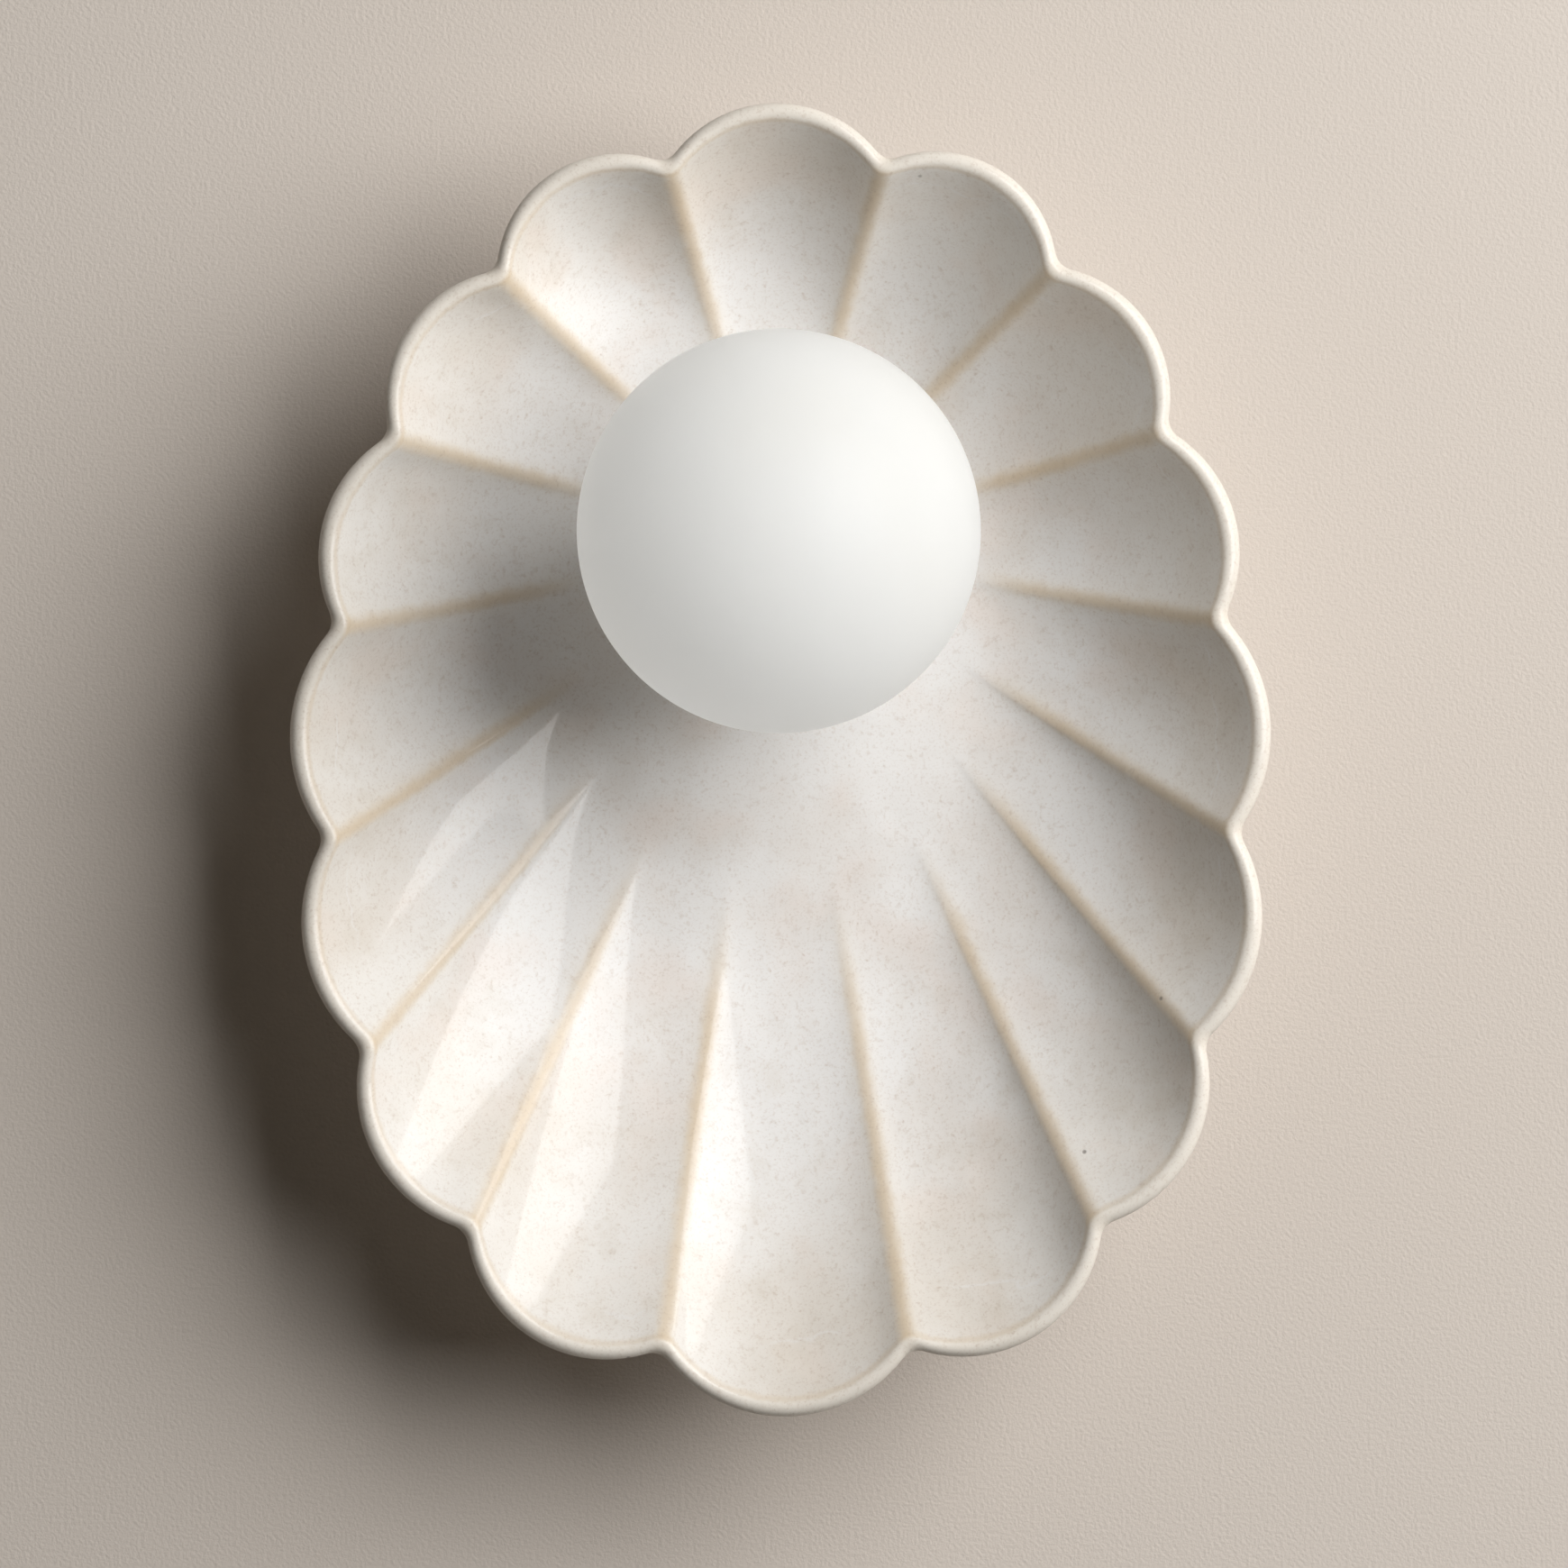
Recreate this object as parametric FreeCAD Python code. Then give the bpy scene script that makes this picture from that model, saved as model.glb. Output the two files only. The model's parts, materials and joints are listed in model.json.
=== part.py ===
import FreeCAD, Part
import math
import os

# A shell wall sconce: a scalloped ceramic dish hung flat on the wall, with an opal ball in front of it.
# Millimetres. The wall is the plane y = 0, the lamp looks towards -Y, +Z is up and +X is to the right.
# The origin is on the wall, on the line of the tube that clamps the lamp together (the lamp axis).
# Places are given as across (x), depth (how far off the wall) and height (z).

# ---- ceramic shell, seen from the front
oval_half_width = 114.9        # the sixteen ribs end on this oval
oval_half_height = 152.8
oval_drop = 55.7               # the oval's centre below the lamp axis
oval_fullness = 2.16           # 2 is an ellipse, more is squarer
oval_heaviness = 0.047         # how far the lower half is wider than the upper
rib_turns = (12.9, 37.9, 59.5, 78.6, 96.3, 116.5, 139.4, 166.3)  # degrees round the oval from its top
flute_rise_side = 10.0         # how far a flute stands out past the line between its two ribs
flute_rise_top = 15.1
flute_rise_bottom = 17.2
flute_rise_power = 4           # how fast the rise falls off away from the top and the bottom
rib_round = 3.0                # stretch of each flute that is given up to the rounded rib end

# ---- ceramic shell, in depth
shell_wall = 5.5
shell_rise = 42.0              # from the flat floor to the rim
floor_mean_radius = 56.2       # of the flat floor round the lamp axis
wall_curve = 1.85              # how late the wall turns up
inside_bands = 8               # bands that the curve of the wall is made of
outside_bands = 6
lip_bands = 4

# ---- shared by all pieces
spare = 1.0                    # how far a cutter runs past the face it cuts
passage_clearance = 0.25       # round the nipple in plain holes
thread_clearance = 0.05        # round a male thread in its nut
small_screw_clearance = 0.1

# ---- clamping stack on the lamp axis
canopy_depth = 19.0
canopy_radius = 55.0
canopy_sheet = 1.0
canopy_corner = 4.0
gasket_thickness = 1.0
rear_gasket_radius = 27.0
front_gasket_radius = 20.0
nipple_radius = 5.0
nipple_wall = 1.5
nipple_spare = 1.5             # thread left proud of each nut
nut_across_flats = 14.0
nut_height = 4.0
lock_washer_thickness = 0.8
lock_washer_radius = 9.0
lock_washer_teeth = 12
bush_flange = 1.0
bush_sleeve = 5.0
bush_wall = 0.6
bush_clearance = 0.08

# ---- globe and its fitter
globe_radius = 50.0
globe_glass = 3.0
globe_stand_off = 16.5         # from the shell's floor to the back of the ball
neck_radius = 21.0
neck_glass = 3.0
neck_fillet = 5.0
neck_clearance = 0.3
fitter_sheet = 1.5
fitter_height = 16.5
fitter_corner = 3.0
fitter_bead = 1.2
neck_floor_gap = 3.0           # from the neck's end to the bottom of the fitter
seal_gap = 0.3
seal_thickness = 1.5
seal_width = 3.0
seal_bore_clearance = 0.5

# ---- lampholder and lamp
stirrup_sheet = 1.0
stirrup_width = 12.0
stirrup_arm_past_holder = 8.0  # how far the arms reach along the holder
holder_radius = 10.0
holder_length = 20.0
holder_flat_width = 8.0        # of the two flats that the stirrup lies on
holder_gap = 6.0               # from the front bush to the holder's back, where the wires spread
holder_slot_length = 13.4
holder_slot_width = 5.0
holder_slot_depth = 8.0
pin_spacing = 9.0
pin_loop_width = 3.0
pin_wire = 0.8
pin_length = 8.0
pin_pocket_length = 5.0
pin_pocket_width = 3.4
pin_pocket_depth = 16.5
contact_sheet = 0.4
contact_width = 4.6
contact_grip = 0.1             # between a contact's leaf and the pin's wire
wire_hole_radius = 1.4
holder_screw_radius = 1.5
holder_screw_length = 5.0
holder_screw_head_radius = 3.0
holder_screw_head = 1.5
holder_screw_slot = 0.5
holder_screw_from_end = 4.0
lamp_seat_gap = 0.3
lamp_tongue_clearance = 0.3
lamp_tongue_length = 7.0
lamp_collar_radius = 7.6
lamp_collar_length = 3.3
lamp_collar_slope = 1.7        # from the collar out to the base's full radius
lamp_base_radius = 8.3
lamp_base_length = 10.0
envelope_radius = 8.0
envelope_length = 34.0
envelope_wall = 1.0
core_radius = 2.6
core_edge = 1.3
core_gap = 5.0                 # from the core's end to the envelope's tip

# ---- wall bracket and wiring
strap_sheet = 2.0
strap_width = 26.0
ear_gap = 0.5                  # between the strap's corners and the inside of the canopy
ear_depth = 14.0
cable_hole_radius = 8.0
wall_screw_spacing = 60.0
slot_radius = 2.25
slot_length = 12.0
canopy_screw_depth = 8.0
canopy_screw_radius = 2.0
canopy_screw_head_radius = 4.0
canopy_screw_head = 4.0
canopy_screw_chamfer = 0.8
canopy_screw_slot = 1.0
canopy_screw_slot_depth = 1.3
canopy_screw_length = 8.0
block_length = 30.0
block_height = 16.0
block_depth = 13.0
block_gap = 6.0                # between the strap's edge and the block
block_foot_margin = 2.0
block_groove = 1.0
block_poles = 3
pole_spacing = 9.5
pole_radius = 3.2
tube_wall = 1.0
tube_overhang = 0.6
terminal_screw_radius = 1.3
terminal_screw_from_middle = 4.6
terminal_screw_head = 1.2
terminal_screw_head_radius = 1.9
terminal_screw_slot = 0.45
terminal_screw_way = 0.2       # round the screw's head in the block
wire_radius = 1.1
wire_spacing = 2.6             # between live and neutral inside the nipple
wire_spread = 8.6              # and where they enter the holder
wire_into_terminal = 4.0
wire_into_holder = 3.0
wire_straight = 0.75           # before a lamp wire turns in front of the bush
wire_clear_of_bush = 3.3       # and behind the rear bush
wire_turn_share = 0.4          # of the way down to the block
wire_run_in = 1.0              # straight above the block
wire_bend_share = 0.45         # of the shorter run beside a turn
earth_wire_run_in = 3.0
earth_wire_drop = 4.0          # below the ring terminal
earth_screw_across = 16.0
earth_screw_radius = 1.75
earth_screw_head_radius = 3.4
earth_screw_head = 2.2
earth_screw_slot = 0.85
lug_radius = 3.9
lug_sheet = 0.8
lug_barrel = 6.0
lug_tongue = 2.0               # between the eye and the barrel

# ---- places that follow from the sizes above
mean_reach = (oval_half_width + oval_half_height) / 2
floor_share = floor_mean_radius / mean_reach
canopy_inside = canopy_depth - canopy_sheet
shell_back = canopy_depth + gasket_thickness
shell_floor = shell_back + shell_wall
shell_rim = shell_floor + shell_rise
fitter_back = shell_floor + gasket_thickness
fitter_floor = fitter_back + fitter_sheet
fitter_rim = fitter_back + fitter_height
stirrup_front = fitter_floor + stirrup_sheet
front_nut_back = stirrup_front + lock_washer_thickness
nipple_front = front_nut_back + nut_height + nipple_spare
rear_nut_front = canopy_inside - lock_washer_thickness
nipple_back = rear_nut_front - nut_height - nipple_spare
holder_back = nipple_front + bush_flange + holder_gap
holder_front = holder_back + holder_length
lamp_seat = holder_front + lamp_seat_gap
lamp_tongue_end = lamp_seat - lamp_tongue_length
envelope_back = lamp_seat + lamp_base_length
envelope_front = envelope_back + envelope_length
globe_back = shell_floor + globe_stand_off
globe_centre = globe_back + globe_radius
neck_end = fitter_floor + neck_floor_gap
passage_radius = nipple_radius + passage_clearance
nipple_bore = nipple_radius - nipple_wall
ear_across = math.sqrt((canopy_radius - canopy_sheet - ear_gap) ** 2 - (strap_width / 2) ** 2)
block_top = -strap_width / 2 - block_gap
block_middle = block_top - block_height / 2

FRONTWARDS = FreeCAD.Vector(0, -1, 0)
ORIGIN = FreeCAD.Vector(0, 0, 0)


# ---- plain tools

def point(across, depth, height):
    """A place given by its distance to the right, off the wall and up."""
    return FreeCAD.Vector(across, -depth, height)


def turned(corners, across=0.0, height=0.0):
    """A solid turned about a line square to the wall; corners are (radius, depth) pairs."""
    places = [point(radius, depth, 0) for radius, depth in corners]
    face = Part.Face(Part.makePolygon(places + places[:1]))
    solid = face.revolve(ORIGIN, FRONTWARDS, 360)
    solid.translate(point(across, 0, height))
    return solid


def round_bar(radius, near, far, across=0.0, height=0.0):
    """A round bar square to the wall, from one depth to another."""
    return Part.makeCylinder(radius, far - near, point(across, near, height), FRONTWARDS)


def ring(inner, outer, near, far, across=0.0, height=0.0):
    """A flat ring square to the wall."""
    return turned([(inner, near), (outer, near), (outer, far), (inner, far)], across, height)


def block(across, near, far, height, width, tall):
    """A box centred on a place across and a height, from one depth to another."""
    start = point(across - width / 2, far, height - tall / 2)
    return Part.makeBox(width, far - near, tall, start)


def slot(length, radius, near, far, across, height):
    """A bar with round ends that lies across, as long as the slot that it cuts."""
    half = length / 2 - radius
    left = round_bar(radius, near, far, across - half, height)
    right = round_bar(radius, near, far, across + half, height)
    return block(across, near, far, height, 2 * half, 2 * radius).fuse([left, right]).removeSplitter()


def hexagon_nut(near, far, across_flats, bore):
    """A hexagon nut on the lamp axis with both faces chamfered."""
    reach = across_flats / math.sqrt(3)
    chamfer = reach - across_flats / 2
    places = []
    for side in range(6):
        turn = math.radians(60 * side)
        places.append(point(reach * math.cos(turn), near, reach * math.sin(turn)))
    prism = Part.Face(Part.makePolygon(places + places[:1])).extrude(FRONTWARDS * (far - near))
    slope = chamfer / math.sqrt(3)
    outside = turned([(bore, near), (reach - chamfer, near), (reach, near + slope),
                      (reach, far - slope), (reach - chamfer, far), (bore, far)])
    return prism.common(outside)


def arc_profile(places):
    """A closed face to be turned about the lamp axis.

    The first entry is where it starts. Each later one is the end of a line, or the middle and end of an arc.
    """
    edges = []
    start = places[0][-1]
    here = start
    for entry in places[1:]:
        if len(entry) == 1:
            edges.append(Part.LineSegment(here, entry[0]).toShape())
        else:
            edges.append(Part.Arc(here, entry[0], entry[1]).toShape())
        here = entry[-1]
    edges.append(Part.LineSegment(here, start).toShape())
    return Part.Face(Part.Wire(edges))


def on_circle(radius, depth, size, degrees):
    """A place on a circle in the turning plane; 0 degrees points away from the axis, 90 to the front."""
    turn = math.radians(degrees)
    return point(radius + size * math.cos(turn), depth + size * math.sin(turn), 0)


def corner(radius, depth, size, start, end):
    """Entries for a profile that go round part of a circle, from one angle in degrees to another."""
    middle = on_circle(radius, depth, size, (start + end) / 2)
    return [[on_circle(radius, depth, size, start)], [middle, on_circle(radius, depth, size, end)]]


# ---- ceramic shell

def rib_end(turn):
    """Where a rib ends on the oval, and the oval's outward direction there, in the plane of the rim."""
    sine = math.sin(turn)
    cosine = math.cos(turn)
    power = 2 / oval_fullness
    wide = 1 - oval_heaviness * cosine
    across = oval_half_width * wide * math.copysign(abs(sine) ** power, sine)
    height = oval_half_height * math.copysign(abs(cosine) ** power, cosine)
    outward = FreeCAD.Vector(across / oval_half_width ** 2, 0, height / oval_half_height ** 2).normalize()
    return FreeCAD.Vector(across, 0, height - oval_drop), outward


def flute_rise(turn):
    """How far the flute at this turn round the oval stands out past its two rib ends."""
    end = flute_rise_top if math.cos(turn) > 0 else flute_rise_bottom
    return flute_rise_side + (end - flute_rise_side) * math.cos(turn) ** flute_rise_power


def flute_spans():
    """The turns at which each flute starts and ends, all the way round the oval."""
    right = [math.radians(turn) for turn in rib_turns]
    left = [2 * math.pi - turn for turn in reversed(right)]
    starts = right + left
    ends = starts[1:] + [starts[0] + 2 * math.pi]
    return list(zip(starts, ends))


def flute_arc(span, grow, scale, depth):
    """One flute's arc, cut back at both ends to leave room for the bends at the ribs."""
    start_place, start_out = rib_end(span[0])
    end_place, end_out = rib_end(span[1])
    start = start_place + start_out * grow
    end = end_place + end_out * grow
    along = (end - start).normalize()
    outward = FreeCAD.Vector(-along.z, 0, along.x)
    crown = (start + end) * 0.5 + outward * flute_rise((span[0] + span[1]) / 2)
    shift = FreeCAD.Vector(0, -depth, 0)
    curve = Part.Arc(start * scale + shift, crown * scale + shift, end * scale + shift)
    first = curve.FirstParameter
    whole = curve.LastParameter - first
    trim = whole * rib_round / (end - start).Length
    middle = curve.value(first + whole / 2)
    return Part.Arc(curve.value(first + trim), middle, curve.value(first + whole - trim))


def rib_bend(arriving, leaving):
    """The bend at a rib, in line with the arcs on both sides of it."""
    start = arriving.value(arriving.LastParameter)
    end = leaving.value(leaving.FirstParameter)
    heading = arriving.tangent(arriving.LastParameter)[0]
    gap = end - start
    pull = start + heading * (gap.Length ** 2 / 2 / heading.dot(gap))
    curve = Part.BezierCurve()
    curve.setPoles([start, pull, end])
    return curve


def scallop_wire(grow, scale, depth):
    """The closed line round the shell, parallel to the wall: flutes joined by short bends at the ribs.

    grow moves it outwards from the rim's outline, and scale then draws it in towards the lamp axis.
    """
    arcs = [flute_arc(span, grow, scale, depth) for span in flute_spans()]
    edges = []
    for index, arc in enumerate(arcs):
        edges.append(arc.toShape())
        edges.append(rib_bend(arc, arcs[(index + 1) % len(arcs)]).toShape())
    return Part.Wire(edges)


def wall_lean(step):
    """The angle between the shell's wall and its floor, at a share of the way out from the floor."""
    slope = shell_rise * wall_curve * step ** (wall_curve - 1) / ((1 - floor_share) * mean_reach)
    return math.atan(slope)


def inside_sections():
    """The lines round the shell's inside from its floor to its lip, all of one shape."""
    lip = shell_wall / 2
    lean = wall_lean(1)
    lip_drop = lip * (1 - math.cos(lean))
    wires = []
    for index in range(inside_bands + 1):
        step = index / inside_bands
        depth = shell_floor + (shell_rise - lip_drop) * step ** wall_curve
        scale = floor_share + (1 - floor_share) * step
        wires.append(scallop_wire(-lip * (1 + math.sin(lean)), scale, depth))
    return wires


def outside_sections():
    """The lines round the shell's outside, one wall's thickness behind its inside."""
    lip = shell_wall / 2
    lean = wall_lean(1)
    lip_drop = lip * (1 - math.cos(lean))
    full = mean_reach + shell_wall * math.sin(lean)
    wires = []
    for index in range(outside_bands + 1):
        step = index / outside_bands
        rise = shell_floor + (shell_rise - lip_drop) * step ** wall_curve
        depth = rise - shell_wall * math.cos(wall_lean(step))
        reach = (floor_share + (1 - floor_share) * step) * mean_reach
        scale = (reach + shell_wall * math.sin(wall_lean(step))) / full
        wires.append(scallop_wire(-lip * (1 - math.sin(lean)), scale, depth))
    return wires


def lip_sections():
    """The lines round the half-round lip, between the inside and the outside."""
    lip = shell_wall / 2
    wires = []
    for index in range(1, lip_bands):
        turn = math.pi * index / lip_bands - wall_lean(1)
        wires.append(scallop_wire(lip * (math.sin(turn) - 1), 1, shell_rim - lip * (1 - math.cos(turn))))
    return wires


def make_ceramic_shell():
    """The fluted dish: its inside, lip and outside are one skin, closed by a flat floor and back."""
    wires = inside_sections() + lip_sections() + outside_sections()[::-1]
    shell = Part.makeLoft(wires, True, True)
    return shell.cut(round_bar(passage_radius, 0, shell_rim))


# ---- against the wall

def make_wall_bracket():
    """A pressed strap with an ear turned out at each end, two slots, a cable hole and a tab for the block."""
    strap = block(0, 0, strap_sheet, 0, 2 * ear_across, strap_width)
    tab_bottom = block_top - block_height - block_foot_margin
    tab_height = strap_width / 2 - tab_bottom
    tab_width = block_length + 2 * block_foot_margin
    tab = block(0, 0, strap_sheet, strap_width / 2 - tab_height / 2, tab_width, tab_height)
    body = strap.fuse(tab)
    for side in (-1, 1):
        across = side * (ear_across - strap_sheet / 2)
        body = body.fuse(block(across, 0, ear_depth, 0, strap_sheet, strap_width))
        across = side * wall_screw_spacing / 2
        body = body.cut(slot(slot_length, slot_radius, -spare, strap_sheet + spare, across, 0))
    body = body.cut(round_bar(cable_hole_radius, -spare, strap_sheet + spare))
    body = body.cut(round_bar(earth_screw_radius, -spare, strap_sheet + spare, earth_screw_across, 0))
    return body.cut(side_bore(canopy_screw_radius + thread_clearance)).removeSplitter()


def side_bore(radius):
    """A bar right across the lamp on the line of the two canopy screws."""
    start = point(-canopy_radius - spare, canopy_screw_depth, 0)
    return Part.makeCylinder(radius, 2 * (canopy_radius + spare), start, FreeCAD.Vector(1, 0, 0))


def make_canopy_pan():
    """A spun pan, open to the wall, with a rounded corner and holes for the nipple and the side screws."""
    inner = canopy_radius - canopy_sheet
    round_outside = canopy_corner
    round_inside = canopy_corner - canopy_sheet
    face = arc_profile([
        [point(canopy_radius, 0, 0)],
        *corner(canopy_radius - round_outside, canopy_depth - round_outside, round_outside, 0, 90),
        [point(passage_radius, canopy_depth, 0)],
        [point(passage_radius, canopy_inside, 0)],
        *corner(canopy_radius - round_outside, canopy_depth - round_outside, round_inside, 90, 0),
        [point(inner, 0, 0)],
    ])
    pan = face.revolve(ORIGIN, FRONTWARDS, 360)
    return pan.cut(side_bore(canopy_screw_radius + small_screw_clearance))


def make_canopy_screws():
    """Two screws with round, slotted heads that hold the pan to the ears of the bracket."""
    screws = []
    for side in (-1, 1):
        axis = FreeCAD.Vector(-side, 0, 0)
        seat = point(side * canopy_radius, canopy_screw_depth, 0)
        top = seat - axis * canopy_screw_head
        head = Part.makeCylinder(canopy_screw_head_radius, canopy_screw_head, top, axis)
        head = head.makeChamfer(canopy_screw_chamfer, [head.Edges[2]])
        shank = Part.makeCylinder(canopy_screw_radius, canopy_screw_length, seat, axis)
        groove_length = 2 * (canopy_screw_head_radius + spare)
        groove = Part.makeBox(2 * canopy_screw_slot_depth, canopy_screw_slot, groove_length)
        groove.translate(FreeCAD.Vector(top.x - canopy_screw_slot_depth, top.y - canopy_screw_slot / 2,
                                        -canopy_screw_head_radius - spare))
        screws.append(head.fuse(shank).cut(groove).removeSplitter())
    return Part.Compound(screws)


def make_terminal_block():
    """Three poles side by side, each with a way through and two screw holes from the front."""
    body = block(0, strap_sheet, strap_sheet + block_depth, block_middle, block_length, block_height)
    for across in pole_places():
        body = body.cut(pole_bar(across, pole_radius + small_screw_clearance, block_height + 2 * spare))
        for side in (-1, 1):
            height = block_middle + side * terminal_screw_from_middle
            way = round_bar(terminal_screw_head_radius + terminal_screw_way,
                            pole_depth(), strap_sheet + block_depth + spare, across, height)
            body = body.cut(way)
    for index in range(block_poles - 1):
        groove = (index + 1 - block_poles / 2) * pole_spacing
        front = strap_sheet + block_depth
        body = body.cut(block(groove, front - block_groove, front + spare, block_middle,
                              block_groove, block_height + 2 * spare))
    return body


def pole_places():
    """Where the poles lie across the block."""
    return [(index - (block_poles - 1) / 2) * pole_spacing for index in range(block_poles)]


def pole_depth():
    """How far off the wall the middle of each pole lies."""
    return strap_sheet + block_depth / 2


def pole_bar(across, radius, length):
    """A bar along one pole of the block, centred on it."""
    start = point(across, pole_depth(), block_middle - length / 2)
    return Part.makeCylinder(radius, length, start, FreeCAD.Vector(0, 0, 1))


def make_terminal_tubes():
    """The brass tube in each pole, tapped from the front for its two screws."""
    tubes = []
    length = block_height - 2 * tube_overhang
    for across in pole_places():
        hollow = pole_bar(across, pole_radius - tube_wall, length + 2 * spare)
        tube = pole_bar(across, pole_radius, length).cut(hollow)
        for side in (-1, 1):
            height = block_middle + side * terminal_screw_from_middle
            tube = tube.cut(round_bar(terminal_screw_radius + thread_clearance, pole_depth(),
                                      strap_sheet + block_depth, across, height))
        tubes.append(tube)
    return Part.Compound(tubes)


def make_terminal_screws():
    """Six slotted screws that reach through the tubes to the wires."""
    screws = []
    near = pole_depth() + wire_radius + small_screw_clearance
    far = strap_sheet + block_depth - terminal_screw_head
    for across in pole_places():
        for side in (-1, 1):
            height = block_middle + side * terminal_screw_from_middle
            shank = round_bar(terminal_screw_radius, near, far, across, height)
            head = round_bar(terminal_screw_head_radius, far - terminal_screw_head, far, across, height)
            groove = block(across, far - terminal_screw_head / 2, far + spare, height,
                           2 * (terminal_screw_head_radius + spare), terminal_screw_slot)
            screws.append(shank.fuse(head).cut(groove).removeSplitter())
    return Part.Compound(screws)


def make_earth_screw():
    """A pan-head screw in the strap that clamps the earth wire's ring terminal."""
    seat = strap_sheet + lug_sheet
    shank = round_bar(earth_screw_radius - thread_clearance, 0, seat, earth_screw_across, 0)
    head = round_bar(earth_screw_head_radius, seat, seat + earth_screw_head, earth_screw_across, 0)
    groove = block(earth_screw_across, seat + earth_screw_head / 2, seat + earth_screw_head + spare, 0,
                   2 * (earth_screw_head_radius + spare), earth_screw_slot)
    return shank.fuse(head).cut(groove).removeSplitter()


def make_earth_lug():
    """A ring terminal: an eye under the screw and a barrel crimped on the wire, pointing down."""
    near = strap_sheet
    eye = round_bar(lug_radius, near, near + lug_sheet, earth_screw_across, 0)
    tongue_end = -lug_radius - lug_tongue
    tongue = block(earth_screw_across, near, near + lug_sheet, tongue_end / 2, 2 * wire_radius, -tongue_end)
    barrel_radius = wire_radius + lug_sheet
    top = point(earth_screw_across, near + barrel_radius, tongue_end + lug_sheet)
    barrel = Part.makeCylinder(barrel_radius, lug_barrel, top, FreeCAD.Vector(0, 0, -1))
    hollow = Part.makeCylinder(wire_radius + small_screw_clearance, lug_barrel - lug_sheet,
                               top - FreeCAD.Vector(0, 0, lug_sheet), FreeCAD.Vector(0, 0, -1))
    lug = eye.fuse([tongue, barrel]).cut(hollow)
    bore = round_bar(earth_screw_radius, near - spare, near + lug_sheet + spare, earth_screw_across, 0)
    return lug.cut(bore).removeSplitter()


# ---- the clamping stack

def make_threaded_nipple():
    return ring(nipple_bore, nipple_radius, nipple_back, nipple_front)


def make_rear_nut():
    bore = nipple_radius + thread_clearance
    return hexagon_nut(rear_nut_front - nut_height, rear_nut_front, nut_across_flats, bore)


def make_front_nut():
    bore = nipple_radius + thread_clearance
    return hexagon_nut(front_nut_back, front_nut_back + nut_height, nut_across_flats, bore)


def lock_washer(near):
    """A washer with a ring of teeth round its edge."""
    washer = ring(passage_radius, lock_washer_radius, near, near + lock_washer_thickness)
    notch_radius = lock_washer_radius * math.pi / lock_washer_teeth / 2
    for index in range(lock_washer_teeth):
        turn = 2 * math.pi * index / lock_washer_teeth
        notch = round_bar(notch_radius, near - spare, near + lock_washer_thickness + spare,
                          lock_washer_radius * math.cos(turn), lock_washer_radius * math.sin(turn))
        washer = washer.cut(notch)
    return washer


def make_rear_lock_washer():
    return lock_washer(rear_nut_front)


def make_front_lock_washer():
    return lock_washer(stirrup_front)


def bush(face, direction):
    """A flanged plastic bush on one end of the nipple; direction is 1 to the front and -1 to the wall."""
    outer = nipple_bore - bush_clearance
    inner = outer - bush_wall
    return turned([(inner, face - direction * bush_sleeve), (outer, face - direction * bush_sleeve),
                   (outer, face), (nipple_radius, face), (nipple_radius, face + direction * bush_flange),
                   (inner, face + direction * bush_flange)])


def make_rear_bush():
    return bush(nipple_back, -1)


def make_front_bush():
    return bush(nipple_front, 1)


def make_rear_gasket():
    return ring(passage_radius, rear_gasket_radius, canopy_depth, shell_back)


def make_front_gasket():
    return ring(passage_radius, front_gasket_radius, shell_floor, fitter_back)


# ---- globe and fitter

def make_globe_fitter():
    """A spun cup with a rounded bottom corner and a rolled bead at its mouth."""
    inner = neck_radius + neck_clearance
    outer = inner + fitter_sheet
    bead_depth = fitter_rim - fitter_bead
    face = arc_profile([
        [point(passage_radius, fitter_back, 0)],
        *corner(outer - fitter_corner, fitter_back + fitter_corner, fitter_corner, -90, 0),
        [point(outer, bead_depth - fitter_bead, 0)],
        [on_circle(outer, bead_depth, fitter_bead, 0), on_circle(outer, bead_depth, fitter_bead, 90)],
        [point(inner, fitter_rim, 0)],
        *corner(outer - fitter_corner, fitter_back + fitter_corner, fitter_corner - fitter_sheet, 0, -90),
        [point(passage_radius, fitter_floor, 0)],
    ])
    return face.revolve(ORIGIN, FRONTWARDS, 360)


def make_globe():
    """The glass ball, drawn into a short screwed neck at the back; glass all round, open at the neck."""
    return globe_outline(globe_radius, neck_radius, neck_fillet).cut(
        globe_outline(globe_radius - globe_glass, neck_radius - neck_glass, neck_fillet + globe_glass))


def globe_outline(ball, neck, fillet):
    """A solid ball with a neck that runs into it through a fillet, from the neck's end to the front."""
    across = neck + fillet
    fillet_depth = globe_centre - math.sqrt((ball + fillet) ** 2 - across ** 2)
    meeting = math.degrees(math.atan2(fillet_depth - globe_centre, across))
    far_side = math.degrees(math.atan2(globe_centre - fillet_depth, -across))
    face = arc_profile([
        [point(0, neck_end, 0)],
        [point(neck, neck_end, 0)],
        *corner(across, fillet_depth, fillet, 180, far_side),
        [on_circle(0, globe_centre, ball, (meeting + 90) / 2), on_circle(0, globe_centre, ball, 90)],
    ])
    return face.revolve(ORIGIN, FRONTWARDS, 360)


def make_globe_seal():
    """A flat silicone ring on the neck, between the fitter's bead and the globe's shoulder."""
    inner = neck_radius + seal_bore_clearance
    near = fitter_rim + seal_gap
    return ring(inner, inner + seal_width, near, near + seal_thickness)


# ---- lampholder and lamp

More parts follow.
